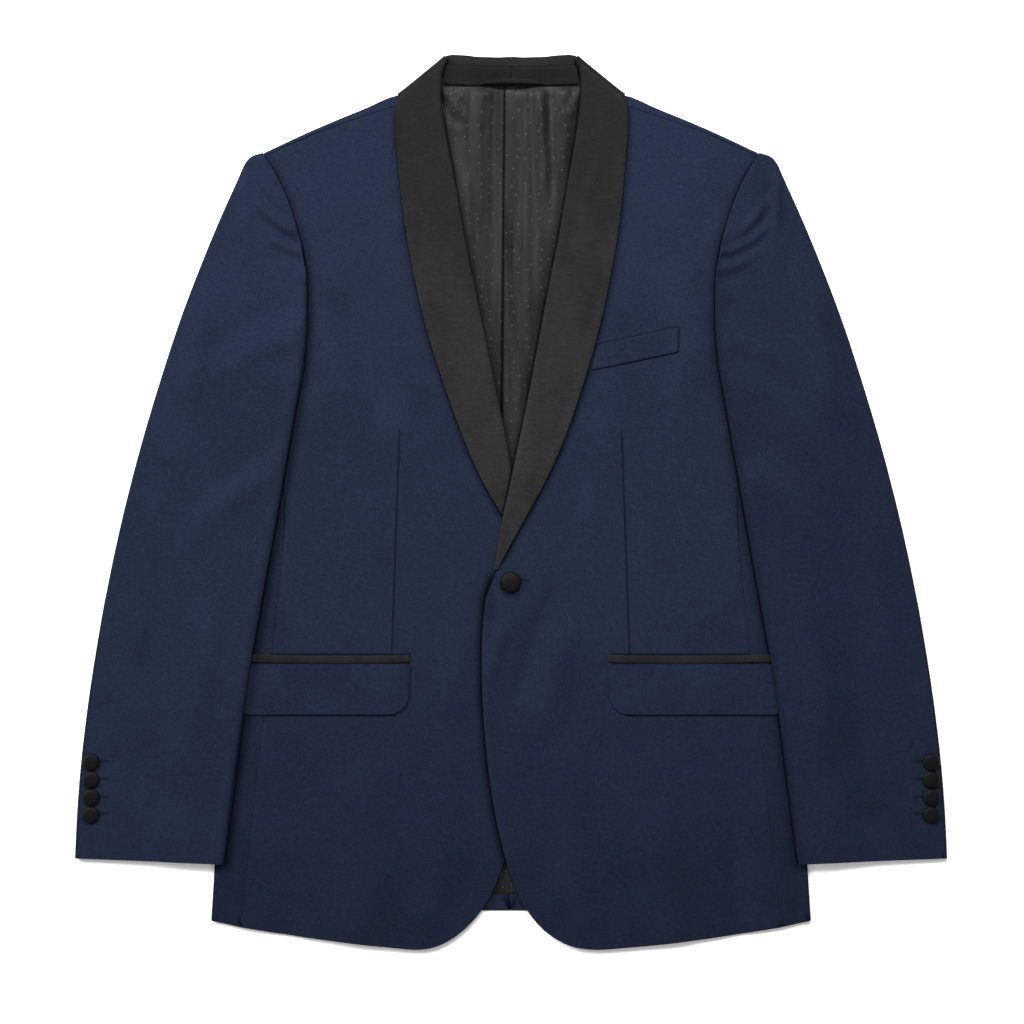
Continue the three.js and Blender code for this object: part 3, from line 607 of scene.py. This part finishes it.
# The back lining seen in the neck opening: folds that fan down from the neck seam.
LINING_FOLDS = rows(
    "start bend end rise width opens",
    ((24, 386), (30, 340), (30, 250), 2.2, 6.0, "start"),
    ((34, 386), (39, 350), (38, 240), -1.8, 4.5, "start"),
    ((46, 386), (50, 350), (47, 290), 1.9, 4.5, "start"),
    ((12, 384), (16, 300), (11, 180), 1.8, 5.0, "start"),
    ((-14, 384), (-16, 320), (-14, 200), -1.3, 4.0, "start"),
    ((-26, 386), (-34, 330), (-27, 230), 2.3, 6.5, "start"),
    ((-42, 386), (-44, 340), (-36, 280), -2.0, 5.0, "start"),
    ((-62, 384), (-55, 366), (-40, 348), 2.0, 2.6, "start"),
    ((-63, 374), (-56, 356), (-46, 342), -1.8, 2.4, ""),
    ((-50, 386), (-48, 374), (-42, 364), 1.6, 2.2, "start"),
    ((-57, 384), (-54, 374), (-52, 360), -1.4, 1.8, "start"),
    ((50, 386), (54, 374), (56, 360), 1.9, 2.2, "start"),
    ((58, 385), (57, 374), (50, 358), -1.6, 2.2, "start"),
    ((62, 380), (58, 368), (54, 350), 1.4, 2.4, "start"),
    ((36, 386), (34, 378), (30, 370), 1.2, 2.2, "start"),
    ((8, 386), (5, 376), (6, 362), 1.0, 2.2, "start"),
    ((-8, 300), (-6, 260), (-5, 200), 1.2, 3.0, ""),
    ((4, 330), (3, 250), (5, 150), -1.2, 2.6, ""),
)

# How far free edges spring up from what they lie on, and the hollow beside a sleeve.
SLEEVE_SPRING = 1.5
SLEEVE_HOLLOW = 0.8
LAPEL_SPRING = 1.0
LINING_FULLNESS = 1.2
EDGE_SPRING = 1.2
UPPER_LAYER = (1.8, 3.9)  # creases start at the first height and are full at the second


def read(table, y, column="x"):
    """A table's column at each y, whose rows go downwards."""
    return np.interp(-y, [-row["y"] for row in table], [row[column] for row in table])


def drape_body(points, layer_top):
    """The fronts and all that lies on them; the lower layer rests on the table unmoved."""
    x, y, z = points.T
    hollow = np.exp(-(((np.abs(x) - read(SLEEVE_INNER, y)) / 9.0) ** 2)) * smooth(y, 225, 150)
    folds = creased(x, y, BODY_FOLDS) - SLEEVE_HOLLOW * hollow
    return folds * smooth(z, *UPPER_LAYER)


def drape_front(points, layer_top):
    """A front, whose free edge springs up a little below the button."""
    x, y, z = points.T
    away, along = along_curve(x, y, {"start": (-19, -72), "bend": (-30, -160), "end": (-16, -285)})
    edge = np.exp(-((away / 7.0) ** 2)) * smooth(along, 0, 0.15) * smooth(1 - along, 0, 0.4)
    is_left = x[np.argmax(np.abs(x))] > 0
    return drape_body(points, layer_top) + (EDGE_SPRING * edge if is_left else 0.0)


def drape_satin(points, layer_top):
    """A lapel, which follows its front and springs up at its outer edge."""
    x, y, z = points.T
    own = creased(x, y, SATIN_FOLDS) * smooth(layer_top - z, 2.4, 1.6)
    outer = np.exp(-(((np.abs(x) - read(LAPEL_OUTER, y, "left")) / 6.0) ** 2)) * smooth(y, 0, 60)
    return drape_body(points, layer_top) + own * smooth(y, 400, 380) + LAPEL_SPRING * outer


def drape_lining(points, layer_top):
    """The lining, full and gathered under the neck seam and flat lower down."""
    x, y, z = points.T
    fullness = LINING_FULLNESS + 1.1 * creased(x, y, LINING_FOLDS)
    room = smooth(read(LAPEL_ROLL, y) - np.abs(x), -10.0, 6.0)
    return np.maximum(fullness, -0.2) * smooth(y, 386, 374) * smooth(y, 110, 190) * room


def drape_sleeve(side):
    """A top sleeve: its creases, its sprung inner edge and its layer tucked under the head."""

    def drape(points, layer_top):
        x, y, z = points.T
        folds = creased(x, y, SLEEVE_FOLDS[side])
        out = np.abs(x)
        inner = np.where(y > 200, 1.0, smooth(out - read(SLEEVE_INNER, y), 1.0, 14.0))
        outer = smooth(read(SLEEVE_OUTER, y) - out, 0.0, 8.0)
        hidden = smooth(layer_top - z, 1.0, 1.8) * smooth(y, 170, 195) * (out < 212)
        spring = np.exp(-((np.maximum(out - read(SLEEVE_INNER, y), 0) / 12.0) ** 2))
        spring = SLEEVE_SPRING * spring * smooth(y, 235, 150)
        return folds * inner * outer * smooth(layer_top - z, 3.4, 2.4) + spring - 2.2 * hidden

    return drape


def drape_loop(points, layer_top):
    """The loop bows up between its two ends."""
    return 3.0 * np.cos(np.clip(points[:, 0] / 30.0, -1, 1) * math.pi / 2)


def drape_under(points, layer_top):
    """An under sleeve, lifted with the top sleeve's inner edge."""
    x, y, z = points.T
    spring = np.exp(-((np.maximum(np.abs(x) - read(SLEEVE_INNER, y), 0) / 12.0) ** 2))
    return SLEEVE_SPRING * spring * smooth(y, 235, 150)


def still(points, layer_top):
    """A piece that lies as its solid does."""
    return np.zeros(len(points))


# ---------------------------------------------------------------- cloth shells

RIM_ANGLE = math.radians(70)
CORNER_REACH = 3.2
SEAM_CLOSE = 0.15

# Where a piece's outline turns a corner that stays crisp, on both sides of the centre.
CORNERS = rows(
    "x y",
    (60, 408), (57, 410.5), (61.5, 404), (105.5, 375.5), (98, 366), (78, 369), (81, 377),
    (0, 408), (0, 401), (0, 382), (0, 364), (0, -376), (228, 319), (230, 321.5), (231.6, 131),
    (248.6, -391.6), (232, -383), (276, -386), (400.5, -328), (240, -141),
    (247, -195.6), (89, -141), (93, -141), (89, -148), (93, -148), (74.4, 121.6), (80.8, 144.6),
    (153, 138), (153.8, 160.6),
)


def longest_of(edge, face):
    """Whether this edge is its face's longest, as a split quad's diagonal is."""
    return edge.calc_length() >= max(e.calc_length() for e in face.edges) - 1e-9


def cage_of(node):
    """The node's solid as a cage of four-sided faces, its triangles paired across smooth edges."""
    bm = bmesh.new()
    bm.from_mesh(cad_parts[node].data)
    bmesh.ops.remove_doubles(bm, verts=bm.verts, dist=0.01 * MM)
    diagonals = [
        e
        for e in bm.edges
        if len(e.link_faces) == 2
        and all(len(f.verts) == 3 and longest_of(e, f) for f in e.link_faces)
        and e.calc_face_angle() < RIM_ANGLE
    ]
    bmesh.ops.dissolve_edges(bm, edges=diagonals, use_verts=False)
    return bm


def close_seams(rims):
    """Moves a cloth's cut edges outwards by half a seam gap, so that sewn edges meet."""
    moves = {}
    for v in {v for e in rims for v in e.verts}:
        walls = [
            f.normal
            for f in v.link_faces
            if sum(e in rims for e in f.edges) >= 2 and abs(f.normal.z) < 0.5
        ]
        if walls:
            normals = np.array(walls)
            moves[v] = Vector(np.linalg.pinv(normals, rcond=0.3) @ np.full(len(walls), SEAM_CLOSE))
    for v, step in moves.items():
        v.co += step * MM


def shell(node, settings, levels, material, drape):
    """A cloth piece on its solid's form, smoothed, edge-rounded and creased."""
    bm = cage_of(node)
    rims = [e for e in bm.edges if len(e.link_faces) == 2 and e.calc_face_angle() > RIM_ANGLE]
    close_seams(rims)
    bmesh.ops.bevel(
        bm,
        geom=rims,
        offset=settings.edge_rounding * MM,
        offset_type="OFFSET",
        segments=1,
        profile=0.5,
        affect="EDGES",
        clamp_overlap=True,
    )
    sharp = bm.verts.layers.float.new("crease_vert")
    for v in bm.verts:
        x, y = abs(v.co.x) / MM, v.co.y / MM
        if any(math.hypot(x - c["x"], y - c["y"]) < CORNER_REACH for c in CORNERS):
            v[sharp] = 1.0
    mesh = bpy.data.meshes.new(f"cloth_{node}")
    bm.to_mesh(mesh)
    bm.free()
    piece = bpy.data.objects.new(f"cloth_{node}", mesh)
    bpy.context.scene.collection.objects.link(piece)
    subdivision = piece.modifiers.new("smooth", "SUBSURF")
    subdivision.levels = levels
    subdivision.render_levels = levels
    depsgraph = bpy.context.evaluated_depsgraph_get()
    smoothed = bpy.data.meshes.new_from_object(piece.evaluated_get(depsgraph))
    piece.modifiers.clear()
    piece.data = smoothed
    bpy.data.meshes.remove(mesh)
    smoothed.name = piece.name
    move(smoothed, drape, settings.crease_depth)
    smoothed.polygons.foreach_set("use_smooth", [True] * len(smoothed.polygons))
    finish_piece(piece, material, node)
    return piece


# Small shifts in plan that bring an outline's ends together where pieces meet.
NECK_PULL = (113, 373, 0, 2.2, 16, 340)
BACK_PULLS = rows("x y dx dy reach above", (0, -376, -0.5, 0, 2.5, -390), NECK_PULL)
PULLS = {
    "back_collar": rows(
        "x y dx dy reach above",
        (57, 410.5, 2.6, 0.4, 3.5, 403), (0, 408, 0, 2.4, 12, 402), (20, 408, 0, 1.6, 12, 402),
        (40, 410, 0, 1.0, 10, 403), (0, 410, -0.5, 0, 2.5, 404), (105.5, 375.5, -1.3, 0, 4, 360),
    ),
    "back_left": BACK_PULLS,
    "back_right": BACK_PULLS,
    "front": rows("x y dx dy reach above", (249, -389, 0.7, 0, 4, -400), NECK_PULL),
    "side_panel": rows("x y dx dy reach above", (249, -389, -0.7, 0, 4, -400)),
    "shawl_lapel": rows("x y dx dy reach above", (60, 409, -0.8, 1.2, 5, 0)),
    "top_sleeve": rows("x y dx dy reach above", (230, 320, -2.2, -0.2, 5, 0)),
}


def pulled(points, pulls):
    """Moves points sideways near each row's place, on both sides of the centre."""
    x, y = np.abs(points[:, 0]), points[:, 1].copy()
    for row in pulls:
        near = np.exp(-(((x - row["x"]) ** 2 + (y - row["y"]) ** 2) / row["reach"] ** 2))
        near = near * smooth(y, row["above"], row["above"] + 4)
        points[:, 0] += np.sign(points[:, 0]) * row["dx"] * near
        points[:, 1] += row["dy"] * near


def move(mesh, drape, depth):
    """Lifts or lowers a mesh's points by its creases."""
    points = np.empty(len(mesh.vertices) * 3)
    mesh.vertices.foreach_get("co", points)
    points = points.reshape(-1, 3) / MM
    tree = BVHTree.FromPolygons(
        [tuple(p) for p in points], [tuple(p.vertices) for p in mesh.polygons]
    )
    above = points[:, 2].max() + 10
    tops = []
    for x, y, z in points:
        hit = tree.ray_cast(Vector((x, y, above)), Vector((0, 0, -1)))[0]
        tops.append(z if hit is None else max(z, hit.z))
    points[:, 2] += depth * drape(points, np.array(tops))
    for start, pulls in PULLS.items():
        if mesh.name.startswith(f"cloth_{start}"):
            pulled(points, pulls)
    mesh.vertices.foreach_set("co", (points * MM).ravel())
    mesh.update()


def finish_piece(piece, material, *nodes):
    """Gives a piece its material, the body it rides on and the solids it stands for."""
    piece.data.materials.clear()
    piece.data.materials.append(material)
    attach(piece, "root")
    if nodes:
        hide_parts(*nodes)


# ---------------------------------------------------------------- buttons

BUTTON_PROFILE = rows(
    "out up",
    (0.0, 1.0), (0.3, 0.985), (0.55, 0.94), (0.74, 0.86), (0.86, 0.74), (0.94, 0.58),
    (0.985, 0.4), (1.0, 0.26), (0.985, 0.12), (0.93, 0.02), (0.8, 0.0), (0.0, 0.0),
)
BUTTON_SIDES = 48
HOLE_HALF_WIDTH = 0.75
HOLE_STEPS = 48
THREAD = 0.42  # half the thickness of the thread bound round a buttonhole
THREAD_SIDES = 8
FRONT_HOLE = {"start": -6.0, "end": 16.4, "y": -71.3, "seat": 13}
CUFF_HOLE = {"start": 370.6, "end": 390, "seat": 374, "above_button": 1.0}


def turned(name, centre, radius, height, profile):
    """A closed round body turned from a profile of fractions of its radius and height."""
    bm = bmesh.new()
    rings = []
    for point in profile:
        if point["out"] == 0.0:
            rings.append([bm.verts.new((centre.x, centre.y, centre.z + height * point["up"]))])
            continue
        ring = []
        for k in range(BUTTON_SIDES):
            angle = 2 * math.pi * k / BUTTON_SIDES
            out = radius * point["out"]
            ring.append(
                bm.verts.new(
                    (
                        centre.x + out * math.cos(angle),
                        centre.y + out * math.sin(angle),
                        centre.z + height * point["up"],
                    )
                )
            )
        rings.append(ring)
    for upper, lower in zip(rings, rings[1:], strict=False):
        for k in range(BUTTON_SIDES):
            n = (k + 1) % BUTTON_SIDES
            corners = [
                upper[k % len(upper)],
                lower[k % len(lower)],
                lower[n % len(lower)],
                upper[n % len(upper)],
            ]
            bm.faces.new(list(dict.fromkeys(corners)))
    mesh = bpy.data.meshes.new(name)
    bm.to_mesh(mesh)
    bm.free()
    mesh.polygons.foreach_set("use_smooth", [True] * len(mesh.polygons))
    piece = bpy.data.objects.new(name, mesh)
    bpy.context.scene.collection.objects.link(piece)
    return piece


def covered_button(node, material):
    """A domed button on its solid's place, as wide and as high as it."""
    low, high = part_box(node)
    centre = (low + high) / 2
    centre.z = low.z
    piece = turned(
        f"cover_{node}", centre, (high.x - low.x) / 2, high.z - low.z, BUTTON_PROFILE
    )
    finish_piece(piece, material, node)
    return piece


def buttonhole(name, start, end, y, seat, material):
    """A thread-bound slot: a bar of close stitches round a narrow slit."""
    left, right = min(start, end) + HOLE_HALF_WIDTH, max(start, end) - HOLE_HALF_WIDTH
    path = []
    for k in range(HOLE_STEPS):
        angle = 2 * math.pi * k / HOLE_STEPS
        middle = right if math.cos(angle) > 0 else left
        out, up = HOLE_HALF_WIDTH * math.cos(angle), HOLE_HALF_WIDTH * math.sin(angle)
        path.append((middle + out, y + up))
    bm = bmesh.new()
    rings = []
    for k, (x, py) in enumerate(path):
        ahead, behind = path[(k + 1) % len(path)], path[k - 1]
        along = Vector((ahead[0] - behind[0], ahead[1] - behind[1], 0)).normalized()
        side = Vector((-along.y, along.x, 0))
        ring = []
        for m in range(THREAD_SIDES):
            angle = 2 * math.pi * m / THREAD_SIDES
            offset = side * (THREAD * math.cos(angle))
            z = seat + THREAD * 0.45 * (1 + math.sin(angle))
            ring.append(bm.verts.new(Vector((x + offset.x, py + offset.y, z)) * MM))
        rings.append(ring)
    for k, ring in enumerate(rings):
        after = rings[(k + 1) % len(rings)]
        for m in range(THREAD_SIDES):
            n = (m + 1) % THREAD_SIDES
            bm.faces.new((ring[m], ring[n], after[n], after[m]))
    bmesh.ops.recalc_face_normals(bm, faces=bm.faces)
    mesh = bpy.data.meshes.new(name)
    bm.to_mesh(mesh)
    bm.free()
    mesh.polygons.foreach_set("use_smooth", [True] * len(mesh.polygons))
    piece = bpy.data.objects.new(name, mesh)
    bpy.context.scene.collection.objects.link(piece)
    finish_piece(piece, material)
    return piece


def height_under(x, y, *nodes):
    """The highest point of these pieces under a place, all in millimetres."""
    best = 0.0
    for name in nodes:
        mesh = bpy.data.objects[f"cloth_{name}"].data
        tree = BVHTree.FromPolygons(
            [v.co for v in mesh.vertices], [tuple(p.vertices) for p in mesh.polygons]
        )
        hit = tree.ray_cast(Vector((x * MM, y * MM, 0.1)), Vector((0, 0, -1)))[0]
        if hit is not None:
            best = max(best, hit.z / MM)
    return best


# ---------------------------------------------------------------- settings


class JacketCloth(bpy.types.PropertyGroup):
    wool: FloatVectorProperty(
        name="Wool", description="Colour of the wool", subtype="COLOR",
        default=(0.0075, 0.0109, 0.0222), min=0.0, max=1.0,
    )
    satin: FloatVectorProperty(
        name="Satin", description="Colour of the collar's satin", subtype="COLOR",
        default=(0.0063, 0.0063, 0.0066), min=0.0, max=1.0,
    )
    lining: FloatVectorProperty(
        name="Lining", description="Colour of the lining", subtype="COLOR",
        default=(0.0072, 0.0072, 0.0076), min=0.0, max=1.0,
    )
    buttons: FloatVectorProperty(
        name="Buttons", description="Colour of the covered buttons", subtype="COLOR",
        default=(0.0022, 0.0022, 0.0023), min=0.0, max=1.0,
    )
    crease_depth: FloatProperty(
        name="Crease depth", description="How strongly the creases show", subtype="FACTOR",
        default=1.0, min=0.0, max=1.5,
    )
    edge_rounding: FloatProperty(
        name="Edge rounding", description="Rounding of the cloth's edges, in millimetres",
        default=0.42, min=0.1, max=0.6,
    )
    panel_detail: IntProperty(
        name="Panel detail", description="Subdivisions of the large panels", default=3,
        min=1, max=3,
    )


class JacketStage(bpy.types.PropertyGroup):
    floor: FloatVectorProperty(
        name="Floor", description="Colour of the floor", subtype="COLOR",
        default=(0.96, 0.96, 0.96), min=0.0, max=1.0,
    )
    lens: FloatProperty(
        name="Lens", description="Focal length", unit="CAMERA", default=85.0, min=20.0,
    )
    width: FloatProperty(
        name="Width shown", description="Width of the view on the floor", unit="LENGTH",
        default=0.942, min=0.1,
    )
    lamp: FloatProperty(
        name="Top lamp", description="Power of the lamp above the collar, in watts",
        default=42.0, min=0.0,
    )
    side_lamp: FloatProperty(
        name="Side lamp", description="Power of the lamp on the left, in watts",
        default=300.0, min=0.0,
    )
    room: FloatProperty(
        name="Room light", description="Strength of the light from all round", default=0.62,
        min=0.0,
    )


# The stage, in metres: where the lamps stand and what the camera looks at.
FLOOR_SIZE = 12.0
FLOOR_DROP = 0.0002
LAMPS = rows(
    "name setting size place",
    ("top_lamp", "lamp", 0.8, (0.1, 1.0, 1.3)),
    ("left_lamp", "side_lamp", 2.2, (-3.2, 2.2, 2.6)),
)
LAMP_TARGET = (0, 0.05, 0)
VIEW_CENTRE = (0.0009, -0.0092)
CLOTH_MIDDLE = 0.006


# ---------------------------------------------------------------- operators


class JACKET_OT_body(bpy.types.Operator):
    """Builds the backs, side panels and fronts"""

    bl_idname = "jacket.body"
    bl_label = "Body"

    def execute(self, context):
        s = context.scene.jacket_cloth
        fronts = {
            "left": wool_finish(
                "wool_front_left", s.wool, 1.0, "left", [*WELT_LINES, *POCKET_SHADOW_LINES]
            ),
            "right": wool_finish(
                "wool_front_right", s.wool, 1.0, "right", on_side(POCKET_SHADOW_LINES, -1)
            ),
        }
        # The side panels are painted a little darker than the fronts, as painted shade.
        sides = {
            side: wool_finish(f"wool_side_{side}", s.wool, 0.92, side) for side in SIDES
        }
        back = wool_finish("wool_back", s.wool, 1.0)
        for side in SIDES:
            piece = shell(f"back_{side}", s, 2, back, still)
            piece = shell(f"side_panel_{side}", s, s.panel_detail, sides[side], drape_body)
            piece = shell(f"front_{side}", s, s.panel_detail, fronts[side], drape_front)
        return {"FINISHED"}


class JACKET_OT_lining(bpy.types.Operator):
    """Builds the two halves of the back lining"""

    bl_idname = "jacket.lining"
    bl_label = "Lining"

    def execute(self, context):
        s = context.scene.jacket_cloth
        # The left lining is painted lighter and the right darker, as painted light and shade.
        for side, light, area in (("left", 1.12, 0.0716), ("right", 0.95, 0.0634)):
            finish = lining_finish(f"lining_{side}", s.lining, light)
            piece = shell(f"back_lining_{side}", s, s.panel_detail, finish, drape_lining)
        return {"FINISHED"}


class JACKET_OT_collar(bpy.types.Operator):
    """Builds the shawl lapels, the back collar, its stand and the hanger loop"""

    bl_idname = "jacket.collar"
    bl_label = "Collar"

    def execute(self, context):
        s = context.scene.jacket_cloth
        satins = {
            "left": satin_finish("satin_lapel_left", s.satin),
            "right": satin_finish("satin_lapel_right", s.satin, under_lapel=True),
        }
        # The stand is painted darker, as painted shade in the neck.
        stand = satin_finish("satin_stand", s.satin, 0.7)
        for side in SIDES:
            piece = shell(f"shawl_lapel_{side}", s, s.panel_detail, satins[side], drape_satin)
            piece = shell(f"back_collar_{side}", s, s.panel_detail, satins["left"], still)
            piece = shell(f"collar_stand_{side}", s, s.panel_detail, stand, still)
        # The loop's satin is painted darker, as painted shade.
        ribbon = satin_finish("satin_loop", s.satin, 0.8)
        shell("hanger_loop", s, s.panel_detail, ribbon, drape_loop)
        return {"FINISHED"}


class JACKET_OT_sleeves(bpy.types.Operator):
    """Builds the top and under sleeves"""

    bl_idname = "jacket.sleeves"
    bl_label = "Sleeves"

    def execute(self, context):
        s = context.scene.jacket_cloth
        # The left sleeve is painted darker, as painted shade where it faces away from the side
        # lamp.
        for side, light in (("left", 0.88), ("right", 1.0)):
            wool = wool_finish(f"wool_sleeve_{side}", s.wool, light, is_sleeve=True)
            piece = shell(f"under_sleeve_{side}", s, 2, wool, drape_under)
            piece = shell(f"top_sleeve_{side}", s, s.panel_detail, wool, drape_sleeve(side))
        return {"FINISHED"}


class JACKET_OT_pockets(bpy.types.Operator):
    """Builds the pocket flaps, their satin jets and the breast welt"""

    bl_idname = "jacket.pockets"
    bl_label = "Pockets"

    def execute(self, context):
        s = context.scene.jacket_cloth
        lines = [line for sign in SIDES.values() for line in on_side(JET_SHADOW_LINES, sign)]
        # Flaps and welt are painted a little darker than the fronts, and the jets much darker, as
        # painted shade.
        wool = wool_finish("wool_pocket", s.wool, 0.97, lines=lines)
        satin = satin_finish("satin_jet", s.satin, 0.75)
        for side, width, area in (("left", 0.158, 0.0072), ("right", 0.154, 0.0070)):
            jet = shell(f"pocket_jet_{side}", s, s.panel_detail, satin, drape_body)
            flap = shell(f"pocket_flap_{side}", s, s.panel_detail, wool, drape_body)
        welt = shell("breast_welt", s, s.panel_detail, wool, drape_body)
        return {"FINISHED"}


class JACKET_OT_buttons(bpy.types.Operator):
    """Builds the covered buttons and the buttonholes"""

    bl_idname = "jacket.buttons"
    bl_label = "Buttons"

    def execute(self, context):
        s = context.scene.jacket_cloth
        cover = button_finish("satin_button", s.buttons)
        thread = thread_finish("buttonhole_thread", [0.7 * c for c in s.wool])
        covered_button("front_button", cover)
        hole = FRONT_HOLE
        seat = height_under(hole["seat"], hole["y"], "front_left")
        buttonhole("buttonhole_front", hole["start"], hole["end"], hole["y"], seat, thread)
        hole = CUFF_HOLE
        for side, sign in SIDES.items():
            for k in range(1, 5):
                covered_button(f"cuff_button_{side}_{k}", cover)
                low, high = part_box(f"cuff_button_{side}_{k}")
                y = (low.y + high.y) / 2 / MM + hole["above_button"]
                seat = height_under(sign * hole["seat"], y, f"top_sleeve_{side}")
                name = f"buttonhole_{side}_{k}"
                buttonhole(name, sign * hole["start"], sign * hole["end"], y, seat, thread)
        return {"FINISHED"}


class JACKET_OT_stage(bpy.types.Operator):
    """Builds the floor, the lights and the camera"""

    bl_idname = "jacket.stage"
    bl_label = "Stage"

    def execute(self, context):
        scene = context.scene
        s = scene.jacket_stage
        bpy.ops.mesh.primitive_plane_add(size=FLOOR_SIZE, location=(0, 0, -FLOOR_DROP))
        floor = context.object
        floor.name = "floor"
        finish = Finish("floor_paper")
        grain = finish.noise(2.0, 2.0)
        floor.data.materials.append(
            finish.surface(
                finish.mix(grain, shade(s.floor, 0.995), shade(s.floor, 1.0)), 0.95,
                Specular_IOR_Level=0.0,
            )
        )
        world = bpy.data.worlds.new("room")
        world.use_nodes = True
        world.node_tree.nodes["Background"].inputs["Color"].default_value = (1, 1, 1, 1)
        world.node_tree.nodes["Background"].inputs["Strength"].default_value = s.room
        scene.world = world
        for row in LAMPS:
            lamp = bpy.data.lights.new(row["name"], "AREA")
            lamp.energy = getattr(s, row["setting"])
            lamp.size = row["size"]
            holder = bpy.data.objects.new(row["name"], lamp)
            holder.location = row["place"]
            aim = Vector(LAMP_TARGET) - holder.location
            holder.rotation_euler = aim.to_track_quat("-Z", "Y").to_euler()
            scene.collection.objects.link(holder)
        data = bpy.data.cameras.new("camera")
        data.lens = s.lens
        camera = bpy.data.objects.new("camera", data)
        distance = s.width / 2 * s.lens / (data.sensor_width / 2)
        camera.location = (*VIEW_CENTRE, distance + CLOTH_MIDDLE)
        scene.collection.objects.link(camera)
        scene.camera = camera
        scene.view_settings.view_transform = "Standard"
        return {"FINISHED"}


class JACKET_PT_panel(bpy.types.Panel):
    bl_label = "Dinner jacket"
    bl_idname = "JACKET_PT_panel"
    bl_space_type = "VIEW_3D"
    bl_region_type = "UI"
    bl_category = "Jacket"

    def draw(self, context):
        for group in (context.scene.jacket_cloth, context.scene.jacket_stage):
            for key in group.__annotations__:
                self.layout.prop(group, key)
        for operator in OPERATORS:
            self.layout.operator(operator.bl_idname)


OPERATORS = (
    JACKET_OT_body,
    JACKET_OT_lining,
    JACKET_OT_collar,
    JACKET_OT_sleeves,
    JACKET_OT_pockets,
    JACKET_OT_buttons,
    JACKET_OT_stage,
)
CLASSES = (JacketCloth, JacketStage, *OPERATORS, JACKET_PT_panel)


def register():
    for cls in CLASSES:
        bpy.utils.register_class(cls)
    bpy.types.Scene.jacket_cloth = PointerProperty(type=JacketCloth)
    bpy.types.Scene.jacket_stage = PointerProperty(type=JacketStage)


def unregister():
    del bpy.types.Scene.jacket_stage
    del bpy.types.Scene.jacket_cloth
    for cls in reversed(CLASSES):
        bpy.utils.unregister_class(cls)


def main():
    register()
    bpy.ops.jacket.body()
    bpy.ops.jacket.lining()
    bpy.ops.jacket.collar()
    bpy.ops.jacket.sleeves()
    bpy.ops.jacket.pockets()
    bpy.ops.jacket.buttons()
    bpy.ops.jacket.stage()


if __name__ == "__main__":
    main()
